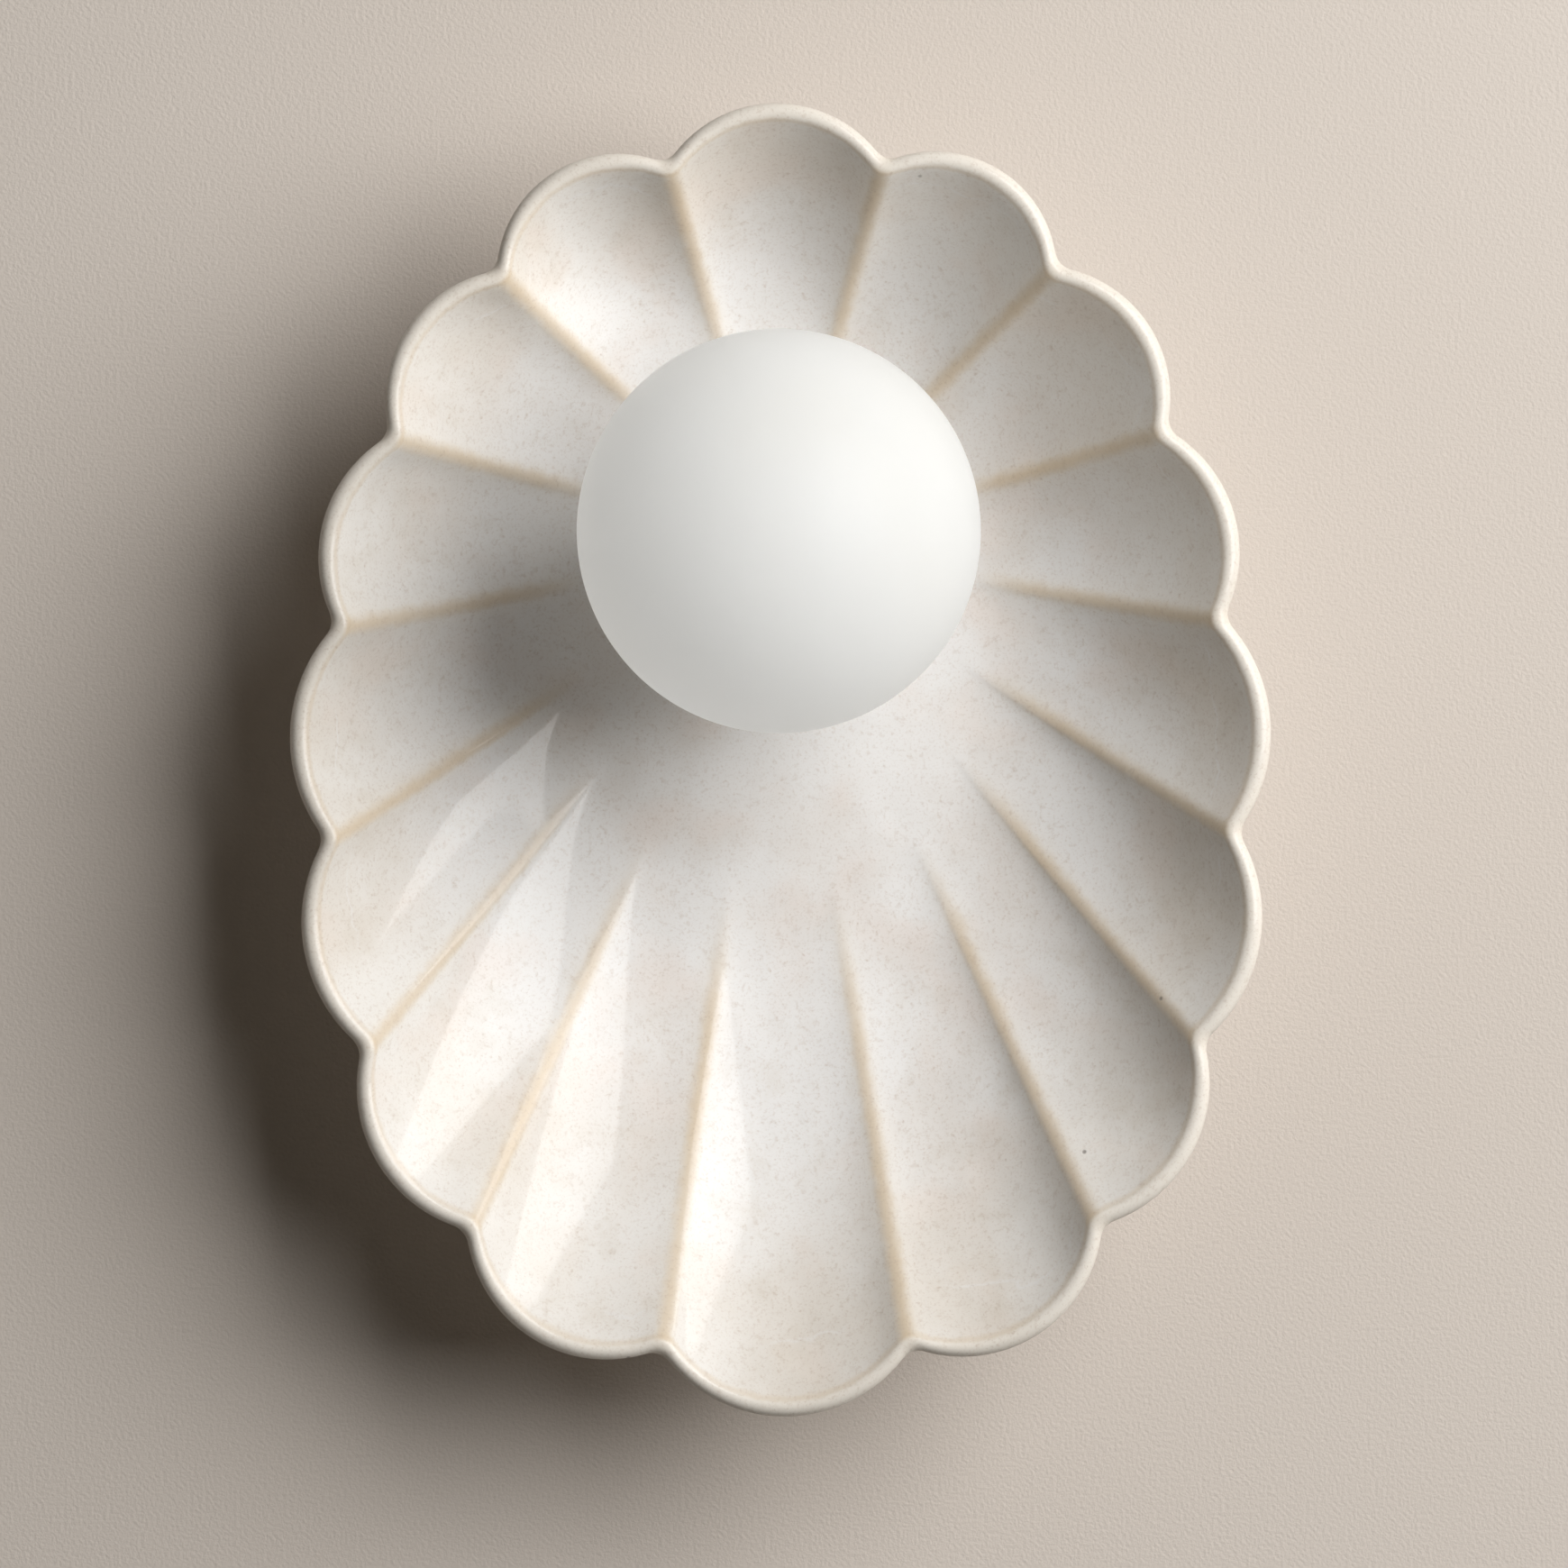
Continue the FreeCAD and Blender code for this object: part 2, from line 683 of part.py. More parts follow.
def make_lampholder_bracket():
    """A stirrup of steel strip: a plate under the nut and two arms beside the holder."""
    arm_inside = holder_flat()
    arm_outside = arm_inside + stirrup_sheet
    arm_front = holder_back + stirrup_arm_past_holder
    body = block(0, fitter_floor, stirrup_front, 0, stirrup_width, 2 * arm_outside)
    for side in (-1, 1):
        height = side * (arm_inside + stirrup_sheet / 2)
        body = body.fuse(block(0, fitter_floor, arm_front, height, stirrup_width, stirrup_sheet))
    body = body.cut(round_bar(passage_radius, 0, arm_front))
    bore = holder_screw_bar(holder_screw_radius + small_screw_clearance, arm_outside + spare)
    return body.cut(bore).removeSplitter()


def holder_flat():
    """Half the distance between the two flats of the holder that the stirrup's arms lie on."""
    return math.sqrt(holder_radius ** 2 - (holder_flat_width / 2) ** 2)


def holder_screw_bar(radius, reach):
    """A bar up and down through the holder on the line of its two screws."""
    start = point(0, holder_back + holder_screw_from_end, -reach)
    return Part.makeCylinder(radius, 2 * reach, start, FreeCAD.Vector(0, 0, 1))


def make_lampholder_body():
    """The steatite holder: a bar with two flats, a slot for the lamp's tongue and a pocket for each pin."""
    body = round_bar(holder_radius, holder_back, holder_front)
    body = body.common(block(0, holder_back, holder_front, 0, 2 * holder_radius, 2 * holder_flat()))
    body = body.cut(block(0, holder_front - holder_slot_depth, holder_front + spare, 0,
                          holder_slot_length, holder_slot_width))
    for side in (-1, 1):
        body = body.cut(block(side * pin_spacing / 2, holder_front - pin_pocket_depth, holder_front, 0,
                              pin_pocket_length, pin_pocket_width))
        body = body.cut(round_bar(wire_hole_radius, holder_back - spare, holder_front - holder_slot_depth,
                                  side * wire_spread / 2, 0))
        height = side * (holder_flat() - holder_screw_length / 2)
        start = point(0, holder_back + holder_screw_from_end, height - holder_screw_length / 2)
        body = body.cut(Part.makeCylinder(holder_screw_radius + thread_clearance, holder_screw_length,
                                          start, FreeCAD.Vector(0, 0, 1)))
    return body


def make_lampholder_contacts():
    """Two spring clips, each a strip folded round the place of one pin."""
    clips = []
    gap = pin_wire / 2 + contact_grip
    back = holder_front - pin_pocket_depth
    front = holder_front - holder_slot_depth
    for side in (-1, 1):
        across = side * pin_spacing / 2
        clip = block(across, back + contact_grip, back + contact_grip + contact_sheet, 0,
                     contact_width, 2 * (gap + contact_sheet))
        for leaf in (-1, 1):
            height = leaf * (gap + contact_sheet / 2)
            clip = clip.fuse(block(across, back + contact_grip, front, height, contact_width, contact_sheet))
        clips.append(clip.removeSplitter())
    return Part.Compound(clips)


def make_lampholder_screws():
    """Two short pan-head screws through the stirrup's arms."""
    screws = []
    seat = holder_flat() + stirrup_sheet
    depth = holder_back + holder_screw_from_end
    for side in (-1, 1):
        inwards = FreeCAD.Vector(0, 0, -side)
        place = point(0, depth, side * seat)
        head = Part.makeCylinder(holder_screw_head_radius, holder_screw_head, place, inwards * -1)
        shank = Part.makeCylinder(holder_screw_radius, holder_screw_length, place, inwards)
        groove = Part.makeBox(2 * (holder_screw_head_radius + spare), holder_screw_slot, holder_screw_head)
        groove.translate(point(-holder_screw_head_radius - spare, depth + holder_screw_slot / 2,
                               side * (seat + holder_screw_head) - holder_screw_head / 2))
        screws.append(head.fuse(shank).cut(groove).removeSplitter())
    return Part.Compound(screws)


def make_bulb_base():
    """The lamp's moulded base: a flat tongue that enters the holder, and a round collar with a cup."""
    tongue_length = holder_slot_length - 2 * lamp_tongue_clearance
    tongue_width = holder_slot_width - 2 * lamp_tongue_clearance
    tongue = block(0, lamp_tongue_end, lamp_seat, 0, tongue_length, tongue_width)
    collar_front = lamp_seat + lamp_collar_length
    collar = turned([(0, lamp_seat), (lamp_collar_radius, lamp_seat), (lamp_collar_radius, collar_front),
                     (lamp_base_radius, collar_front + lamp_collar_slope), (lamp_base_radius, envelope_back),
                     (0, envelope_back)])
    body = tongue.fuse(collar).removeSplitter()
    for side in (-1, 1):
        for leg in (-1, 1):
            across = side * pin_spacing / 2 + leg * (pin_loop_width - pin_wire) / 2
            body = body.cut(round_bar(pin_wire / 2 + thread_clearance, lamp_tongue_end - spare,
                                      lamp_tongue_end + pin_wire, across, 0))
    return body


def make_bulb_pins():
    """Two loops of stiff wire, each with both legs in the tongue."""
    pins = []
    bend = (pin_loop_width - pin_wire) / 2
    tip = lamp_tongue_end - pin_length
    for side in (-1, 1):
        across = side * pin_spacing / 2
        right = point(across + bend, lamp_tongue_end + pin_wire / 2, 0)
        left = point(across - bend, lamp_tongue_end + pin_wire / 2, 0)
        turn_right = point(across + bend, tip + bend, 0)
        turn_left = point(across - bend, tip + bend, 0)
        turn_end = point(across, tip, 0)
        path = Part.Wire([Part.LineSegment(right, turn_right).toShape(),
                          Part.Arc(turn_right, turn_end, turn_left).toShape(),
                          Part.LineSegment(turn_left, left).toShape()])
        pins.append(round_pipe(path, pin_wire / 2))
    return Part.Compound(pins)


def round_pipe(path, radius):
    """A solid round bar along a path of lines and arcs that starts along its first edge."""
    first = path.Edges[0]
    heading = first.tangentAt(first.FirstParameter)
    section = Part.Wire(Part.Circle(first.valueAt(first.FirstParameter), heading, radius).toShape())
    return path.makePipeShell([section], True, False)


def make_bulb_envelope():
    """The lamp's clear cover, a thin tube with a domed front."""
    return envelope_outline(envelope_radius, envelope_back, envelope_front).cut(
        envelope_outline(envelope_radius - envelope_wall, envelope_back, envelope_front - envelope_wall))


def envelope_outline(radius, near, far):
    """A bar with a half-round front end."""
    face = arc_profile([
        [point(0, near, 0)],
        [point(radius, near, 0)],
        [point(radius, far - radius, 0)],
        [on_circle(0, far - radius, radius, 45), on_circle(0, far - radius, radius, 90)],
    ])
    return face.revolve(ORIGIN, FRONTWARDS, 360)


def make_bulb_core():
    """The post inside the lamp that carries its light strips."""
    front = envelope_front - envelope_wall - core_gap
    core = round_bar(core_radius, envelope_back, front)
    return core.makeFillet(core_edge, [core.Edges[0]])


# ---- wires

def bent_wire(places):
    """A wire along straight runs with an arc at each turn, as large as the shorter run beside it allows."""
    edges = []
    here = places[0]
    for index in range(1, len(places) - 1):
        turn = places[index]
        before = (places[index - 1] - turn)
        after = (places[index + 1] - turn)
        cut = wire_bend_share * min(before.Length, after.Length)
        before.normalize()
        after.normalize()
        start = turn + before * cut
        end = turn + after * cut
        half = before.getAngle(after) / 2
        radius = cut * math.tan(half)
        inward = (before + after).normalize()
        middle = turn + inward * (cut / math.cos(half) - radius)
        edges.append(Part.LineSegment(here, start).toShape())
        edges.append(Part.Arc(start, middle, end).toShape())
        here = end
    edges.append(Part.LineSegment(here, places[-1]).toShape())
    return round_pipe(Part.Wire(edges), wire_radius)


def lamp_wire(side):
    """A wire from the outer pole of the block on one side, up and through the nipple to the holder."""
    pole = side * pole_spacing
    inside = side * wire_spacing / 2
    spread = side * wire_spread / 2
    turn_depth = pole_depth()
    return bent_wire([
        point(spread, holder_back + wire_into_holder, 0),
        point(spread, holder_back - wire_straight, 0),
        point(inside, nipple_front + bush_flange + wire_straight, 0),
        point(inside, nipple_back - bush_flange - wire_clear_of_bush, 0),
        point((pole + inside) / 2, turn_depth, block_top * wire_turn_share),
        point(pole, turn_depth, block_top + wire_run_in),
        point(pole, turn_depth, block_top - tube_overhang - wire_into_terminal),
    ])


def make_live_wire():
    return lamp_wire(-1)


def make_neutral_wire():
    return lamp_wire(1)


def make_earth_wire():
    """From the middle pole of the block round to the barrel of the ring terminal."""
    barrel_end = -lug_radius - lug_tongue - lug_barrel + lug_sheet
    depth = strap_sheet + wire_radius + lug_sheet
    return bent_wire([
        point(earth_screw_across, depth, barrel_end + wire_into_terminal),
        point(earth_screw_across, depth, barrel_end - earth_wire_drop),
        point(0, pole_depth(), block_top + earth_wire_run_in),
        point(0, pole_depth(), block_top - tube_overhang - wire_into_terminal),
    ])


PARTS = {
    "wall_bracket": make_wall_bracket,
    "terminal_block": make_terminal_block,
    "terminal_tubes": make_terminal_tubes,
    "terminal_screws": make_terminal_screws,
    "earth_screw": make_earth_screw,
    "earth_lug": make_earth_lug,
    "earth_wire": make_earth_wire,
    "canopy_pan": make_canopy_pan,
    "canopy_screws": make_canopy_screws,
    "threaded_nipple": make_threaded_nipple,
    "rear_lock_washer": make_rear_lock_washer,
    "rear_nut": make_rear_nut,
    "rear_bush": make_rear_bush,
    "front_bush": make_front_bush,
    "rear_gasket": make_rear_gasket,
    "ceramic_shell": make_ceramic_shell,
    "front_gasket": make_front_gasket,
    "globe_fitter": make_globe_fitter,
    "lampholder_bracket": make_lampholder_bracket,
    "front_lock_washer": make_front_lock_washer,
    "front_nut": make_front_nut,
    "lampholder_body": make_lampholder_body,
    "lampholder_contacts": make_lampholder_contacts,
    "lampholder_screws": make_lampholder_screws,
    "live_wire": make_live_wire,
    "neutral_wire": make_neutral_wire,
    "bulb_base": make_bulb_base,
    "bulb_pins": make_bulb_pins,
    "bulb_core": make_bulb_core,
    "bulb_envelope": make_bulb_envelope,
    "globe": make_globe,
    "globe_seal": make_globe_seal,
}


def main():
    """Write one file for each piece, and print what its solids measure."""
    os.makedirs("parts", exist_ok=True)
    for name, make in PARTS.items():
        shape = make()
        shape.exportStep("parts/" + name + ".step")
        state = "valid" if shape.isValid() else "INVALID"
        print(name, len(shape.Solids), "solids", round(shape.Volume, 1), "mm3", state)


main()
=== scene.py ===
"""Looks of a shell wall sconce: a glazed, fluted dish hung on the wall with an opal ball in front of it."""
import json
import logging
import math
from dataclasses import dataclass
from enum import Enum
from itertools import accumulate
from typing import Any, Callable, Dict, List, Optional, Sequence, Tuple, Union

import bmesh
import bpy
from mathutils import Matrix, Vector


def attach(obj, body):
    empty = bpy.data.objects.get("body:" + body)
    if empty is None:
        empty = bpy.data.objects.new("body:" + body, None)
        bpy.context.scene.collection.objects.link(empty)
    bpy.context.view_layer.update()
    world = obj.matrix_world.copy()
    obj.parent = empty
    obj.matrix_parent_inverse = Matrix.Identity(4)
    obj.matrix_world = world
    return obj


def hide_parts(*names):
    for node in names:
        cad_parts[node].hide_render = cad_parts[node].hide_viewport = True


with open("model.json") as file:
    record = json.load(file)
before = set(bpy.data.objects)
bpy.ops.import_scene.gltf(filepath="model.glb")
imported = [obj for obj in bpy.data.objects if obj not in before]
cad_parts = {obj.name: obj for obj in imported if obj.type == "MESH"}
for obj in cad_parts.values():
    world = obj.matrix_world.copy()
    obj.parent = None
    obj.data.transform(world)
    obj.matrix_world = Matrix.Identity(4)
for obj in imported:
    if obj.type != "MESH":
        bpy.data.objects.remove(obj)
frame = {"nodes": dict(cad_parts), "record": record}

LOG = logging.getLogger("sconce")
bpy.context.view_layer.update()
COLLECTION = bpy.context.scene.collection

MM = 0.001
WELD = 1e-6
FINE_WELD = 1e-7
FLAT_WITHIN = math.radians(0.6)

Colour = Tuple[float, float, float, float]
Number = Union["Link", float]
Operator = Callable[["Link", Number], "Link"]


def paint(red: int, green: int, blue: int) -> Colour:
    """Turn a colour as a screen shows it into the values that a shader takes.

    Args:
        red: Red, 0 to 255.
        green: Green, 0 to 255.
        blue: Blue, 0 to 255.

    Returns:
        The linear colour with full alpha.
    """
    def linear(level: int) -> float:
        """Undo the screen's curve for one level."""
        share = level / 255
        return share / 12.92 if share <= 0.04045 else ((share + 0.055) / 1.055) ** 2.4

    return (linear(red), linear(green), linear(blue), 1.0)


# ---- node trees written as expressions

def operators(operation: str) -> Tuple[Operator, Operator]:
    """Make the methods of one Python operator.

    Args:
        operation: What the Math node does.

    Returns:
        The method for a link that comes first, and the one for a link that comes after a number.
    """
    def plain(self: "Link", other: Number) -> "Link":
        """Add the node with this link first."""
        return self.maths(operation, self, other)

    def reflected(self: "Link", other: Number) -> "Link":
        """Add the node with this link last."""
        return self.maths(operation, other, self)

    return plain, reflected


class Link:
    """An output socket that takes Python's operators; each adds a Math node."""

    def __init__(self, bench: "Bench", socket: bpy.types.NodeSocket) -> None:
        """Hold a socket and the bench that adds nodes to its tree."""
        self.bench = bench
        self.socket = socket

    def also(self, name: str) -> "Link":
        """Return another output of the same node."""
        return Link(self.bench, self.socket.node.outputs[name])

    def maths(self, operation: str, *values: Number) -> "Link":
        """Add a Math node.

        Args:
            operation: The node's operation.
            values: Its values or links, in order.

        Returns:
            The node's result.
        """
        return self.bench.node("ShaderNodeMath", {"operation": operation}, dict(enumerate(values)))

    __add__, __radd__ = operators("ADD")
    __sub__, __rsub__ = operators("SUBTRACT")
    __mul__, __rmul__ = operators("MULTIPLY")
    __truediv__, __rtruediv__ = operators("DIVIDE")
    __mod__, __rmod__ = operators("FLOORED_MODULO")

    def wave(self) -> "Link":
        """Take the sine."""
        return self.maths("SINE", self)

    def size(self) -> "Link":
        """Take the absolute value."""
        return self.maths("ABSOLUTE", self)

    def ramp(self, start: Number, end: Number) -> "Link":
        """Rise smoothly from 0 to 1 between two values, which may fall instead.

        Args:
            start: Where the result is 0.
            end: Where the result is 1.

        Returns:
            The smooth step.
        """
        return self.bench.node("ShaderNodeMapRange", {"interpolation_type": "SMOOTHSTEP"},
                               {"Value": self, "From Min": start, "From Max": end})


class Bench:
    """Adds nodes to one tree."""

    def __init__(self, tree: bpy.types.NodeTree) -> None:
        """Hold the tree."""
        self.tree = tree

    def node(self, kind: str, settings: Optional[Dict[str, Any]] = None,
             values: Optional[Dict[Union[str, int], Any]] = None, output: Union[str, int] = 0) -> Link:
        """Add one node.

        Args:
            kind: The node's type.
            settings: Its settings, set first.
            values: Values or links for its input sockets, by name or place.
            output: The output socket wanted, by name or place.

        Returns:
            The wanted output.
        """
        made = self.tree.nodes.new(kind)
        for name, value in (settings or {}).items():
            setattr(made, name, value)
        for key, value in (values or {}).items():
            self.give(made.inputs[key], value)
        return Link(self, made.outputs[output])

    def give(self, socket: bpy.types.NodeSocket, value: Any) -> None:
        """Link or set an input socket.

        Args:
            socket: The socket.
            value: A link, or the value that it keeps.
        """
        if isinstance(value, Link):
            self.tree.links.new(value.socket, socket)
        else:
            socket.default_value = value

    def place(self) -> Link:
        """Give the place on the piece, in metres."""
        return self.node("ShaderNodeTexCoord", output="Object")

    def stretched(self, place: Link, across: float, depth: float, height: float) -> Link:
        """Scale a place by its own amount along each axis."""
        return self.node("ShaderNodeMapping", {}, {"Vector": place, "Scale": (across, depth, height)})

    def cloud(self, place: Link, scale: float, detail: float = 3.0, roughness: float = 0.5) -> Link:
        """Add soft noise.

        Args:
            place: Where it is read.
            scale: Features in a metre.
            detail: How many finer layers it has.
            roughness: How strong those are.

        Returns:
            Noise about 0.5.
        """
        return self.node("ShaderNodeTexNoise", {},
                         {"Vector": place, "Scale": scale, "Detail": detail, "Roughness": roughness})

    def dots(self, place: Link, scale: float, share: float, radius: float, soft: float) -> Link:
        """Scatter round dots of uneven size.

        Args:
            place: Where they are read.
            scale: Cells in a metre, one dot at most in each.
            share: The share of cells that hold a dot.
            radius: The largest dot's radius, as a share of its cell.
            soft: How wide its soft edge is, as a share of its cell.

        Returns:
            1 in a dot and 0 outside.
        """
        cells = self.node("ShaderNodeTexVoronoi", {}, {"Vector": place, "Scale": scale})
        chance = self.node("ShaderNodeSeparateColor", {}, {0: cells.also("Color")})
        kept = chance.ramp(1 - share, 1 - share * 0.3)
        return cells.ramp(radius, radius - soft) * kept

    def blend(self, share: Number, first: Any, second: Any) -> Link:
        """Mix two colours.

        Args:
            share: How much of the second.
            first: A colour or link.
            second: A colour or link.

        Returns:
            The mixed colour.
        """
        return self.node("ShaderNodeMix", {"data_type": "RGBA"}, {0: share, 6: first, 7: second}, 2)

    def bump(self, height: Link, depth: float) -> Link:
        """Turn a height of 0 to 1 into a bumped normal.

        Args:
            height: The height.
            depth: How far 1 stands above 0, in metres.

        Returns:
            The normal.
        """
        return self.node("ShaderNodeBump", {}, {"Height": height, "Distance": depth})

    def reading(self, name: str) -> Link:
        """Read a number that is kept on the mesh."""
        return self.node("ShaderNodeAttribute", {"attribute_name": name}, output="Fac")


# ---- finishes

class Grain(Enum):
    """The way a metal was worked, which its fine marks follow."""

    ROLLED = "rolled sheet"
    PLATED = "dipped and plated"
    DRAWN = "drawn or turned bar"


class Surface(Bench):
    """Adds nodes to a new material and feeds its shader."""

    def __init__(self, name: str) -> None:
        """Make the material.

        Args:
            name: Its name.
        """
        self.material = bpy.data.materials.new(name)
        self.material.use_nodes = True
        super().__init__(self.material.node_tree)
        self.shader = self.tree.nodes["Principled BSDF"]

    def feed(self, **values: Any) -> None:
        """Link or set the shader's sockets; an underscore stands for a space."""
        for name, value in values.items():
            self.give(self.shader.inputs[name.replace("_", " ")], value)

    def mix_in(self, share: Number, other: Link) -> None:
        """Mix another shader with the main one.

        Args:
            share: How much of the other.
            other: The other shader.
        """
        mixed = self.node("ShaderNodeMixShader", {}, {0: share, 1: Link(self, self.shader.outputs[0]), 2: other})
        self.give(self.tree.nodes["Material Output"].inputs["Surface"], mixed)


@dataclass(frozen=True)
class Finish:
    """What a surface is finished in.

    Attributes:
        name: The material's name.
    """

    name: str

    def make(self) -> bpy.types.Material:
        """Build the material.

        Returns:
            The material.
        """
        surface = Surface(self.name)
        self.dress(surface)
        return surface.material

    def dress(self, surface: Surface) -> None:
        """Feed the shader; each finish has its own way."""
        raise NotImplementedError


@dataclass(frozen=True)
class Glaze(Finish):
    """A glossy, milky glaze with fine specks that thins to the tan clay on edges.

    Attributes:
        milk: The thick glaze.
        cloud_tone: Where it is cloudier and greyer.
        blush: Where it is a little pinker.
        thin: Where it ran thinner, on the steep walls.
        smoke: The greyish-tan smudges in it.
        edge: Where it breaks thin over a rib.
        rim: On the lip.
        speck: The fine specks.
        pin: The few dark pinholes.
        bare: The unglazed foot at the back.
        rib_reach: How far from a rib's crest the glaze is thin.
        lip_reach: How far from the lip's crest it is.
        rib_fray: How uneven that is at the ribs.
        lip_fray: How uneven it is at the lip.
        flow_gap: How far below the lip the glaze stopped flowing.
        flow_sway: How far that line wanders.
        swell_depth: How deep the glaze's waves are.
    """

    milk: Colour = paint(235, 233, 231)
    cloud_tone: Colour = paint(226, 221, 216)
    blush: Colour = paint(232, 222, 215)
    thin: Colour = paint(219, 207, 185)
    smoke: Colour = paint(202, 190, 172)
    edge: Colour = paint(211, 191, 162)
    rim: Colour = paint(233, 226, 215)
    speck: Colour = paint(184, 163, 144)
    pin: Colour = paint(104, 96, 92)
    bare: Colour = paint(214, 198, 176)
    rib_reach: float = 2.2 * MM
    lip_reach: float = 3.4 * MM
    rib_fray: float = 2.6 * MM
    lip_fray: float = 1.6 * MM
    flow_gap: float = 13.0 * MM
    flow_sway: float = 34.0 * MM
    swell_depth: float = 1.1 * MM

    def dress(self, surface: Surface) -> None:
        """Mix the glaze by its distance from the ribs and the lip, then scatter specks and pinholes.

        Args:
            surface: The surface that gets the nodes.
        """
        place = surface.place()
        from_rib, from_lip, relief, foot = map(surface.reading, ("from_rib", "from_lip", "relief", "foot"))
        drift = surface.cloud(place, 22.0, 4.0, 0.55)
        fray = surface.cloud(place, 260.0, 3.0, 0.6) - 0.5
        body = surface.blend(drift.ramp(0.40, 0.66), self.milk, self.cloud_tone)
        body = surface.blend(surface.cloud(place, 46.0, 3.0).ramp(0.50, 0.72) * 0.55, body, self.blush)
        body = surface.blend(relief.ramp(0.42, 0.82) * (0.16 + drift * 0.34), body, self.thin)
        smoke = surface.cloud(place, 80.0, 4.0, 0.62).ramp(0.50, 0.72) * relief.ramp(0.05, 0.5)
        body = surface.blend(smoke * 0.19, body, self.smoke)
        run = (from_lip - (drift - 0.5) * self.flow_sway - self.flow_gap).size().ramp(0.55 * MM, 0.05 * MM)
        broken = surface.cloud(place, 30.0, 2.0).ramp(0.46, 0.60) * relief.ramp(0.15, 0.6)
        body = surface.blend(run * broken * 0.45, body, self.milk)
        frayed_rib = from_rib + fray * self.rib_fray
        halo = frayed_rib.ramp(3.4 * self.rib_reach, 0.4 * self.rib_reach) * relief.ramp(0.06, 0.34)
        thin = frayed_rib.ramp(1.7 * self.rib_reach, 0.0) * relief.ramp(0.08, 0.42)
        body = surface.blend(halo * 0.36, body, self.rim)
        body = surface.blend(thin * (0.44 + drift * 0.5), body, self.edge)
        frayed_lip = from_lip.size() + fray * self.lip_fray
        on_lip = frayed_lip.ramp(1.35 * self.lip_reach, 0.75 * self.lip_reach)
        body = surface.blend(on_lip * 0.85, body, self.rim)
        # A thin tan line on each side of the lip, in the edge colour: the outer one is a tan edge on the lip, and the
        # inner one is painted shade where the lip rolls over into the wall.
        line = (frayed_lip - self.lip_reach * 1.26).size().ramp(1.35 * MM, 0.1 * MM)
        body = surface.blend(line * 0.36, body, self.edge)
        fine = surface.cloud(place, 1450.0, 3.0, 0.6).ramp(0.50, 0.74)
        coarse = surface.cloud(place, 640.0, 2.0, 0.55).ramp(0.55, 0.74)
        small = surface.dots(place, 460.0, 0.34, 0.20, 0.17)
        share = fine * (0.14 + drift * 0.30) + coarse * 0.20 + small * 0.20
        body = surface.blend(share, body, self.speck)
        pins = surface.dots(place, 52.0, 0.20, 0.040, 0.026)
        body = surface.blend(pins * 0.62, body, self.pin)
        clay = foot * surface.cloud(place, 300.0, 2.0).ramp(0.15, 0.30)
        body = surface.blend(clay, body, self.bare)
        swell = surface.cloud(place, 34.0, 2.0, 0.45)
        ripple = surface.cloud(place, 230.0, 2.0, 0.5)
        height = swell + ripple * 0.045 - pins * 0.10 - small * 0.012
        surface.feed(Base_Color=body, Roughness=0.33 + clay * 0.37 + fine * 0.03 + drift * 0.06,
                     Coat_Weight=(0.22 + drift * 0.18) * (1.0 - clay), Coat_Roughness=0.07, IOR=1.29,
                     Normal=surface.bump(height, self.swell_depth))


@dataclass(frozen=True)
class Opal(Finish):
    """Milky glass with an etched, satin skin, which light goes through.

    Attributes:
        milk: The glass itself.
        warm: The slightly warmer clouds in it.
        through: The colour of the light that comes through it.
        share: How much of the light goes through.
        scatter: A faint glow painted on the glass as emission. It stands in for the little light that wanders on
            inside the glass, past the bounces that are traced, and it shines though the lamp is off.
    """

    milk: Colour = paint(232, 233, 232)
    warm: Colour = paint(231, 231, 228)
    through: Colour = paint(255, 255, 255)
    share: float = 0.7
    scatter: float = 0.29

    def dress(self, surface: Surface) -> None:
        """Give the glass its clouds, its etched skin and a faint painted glow, and let light through.

        Args:
            surface: The surface that gets the nodes.
        """
        place = surface.place()
        drift = surface.cloud(place, 18.0, 2.0)
        grit = surface.cloud(place, 5200.0, 2.0)
        body = surface.blend(drift.ramp(0.35, 0.7), self.milk, self.warm)
        # The emission paints a faint glow on the glass that lifts its shaded side, though the lamp is off.
        surface.feed(Base_Color=body, Roughness=0.36 + drift * 0.08, Emission_Color=body,
                     Emission_Strength=self.scatter, IOR=1.40, Normal=surface.bump(grit, 0.012 * MM))
        surface.mix_in(self.share, surface.node("ShaderNodeBsdfTranslucent", {}, {"Color": self.through}))


@dataclass(frozen=True)
class Metal(Finish):
    """A bare or plated metal with the marks of its working.

    Attributes:
        bright: Its clean colour.
        dull: Its colour where it is dulled or thinly plated.
        roughness: How matt it is.
        grain: The way it was worked.
    """

    bright: Colour
    dull: Colour
    roughness: float
    grain: Grain

    def dress(self, surface: Surface) -> None:
        """Give the metal its clouds and its fine marks along the way it was worked.

        Args:
            surface: The surface that gets the nodes.
        """
        place = surface.place()
        drift = surface.cloud(place, 85.0, 4.0, 0.6)
        if self.grain is Grain.ROLLED:
            lines = surface.cloud(surface.stretched(place, 25.0, 900.0, 900.0), 1.0, 3.0)
        elif self.grain is Grain.DRAWN:
            lines = surface.cloud(surface.stretched(place, 700.0, 2600.0, 700.0), 1.0, 2.0)
        else:
            lines = surface.cloud(place, 900.0, 2.0)
        tone = surface.blend(drift.ramp(0.35, 0.75), self.bright, self.dull)
        surface.feed(Base_Color=tone, Roughness=self.roughness + drift * 0.12 + lines * 0.08, Metallic=1.0,
                     Normal=surface.bump(lines, 0.02 * MM))


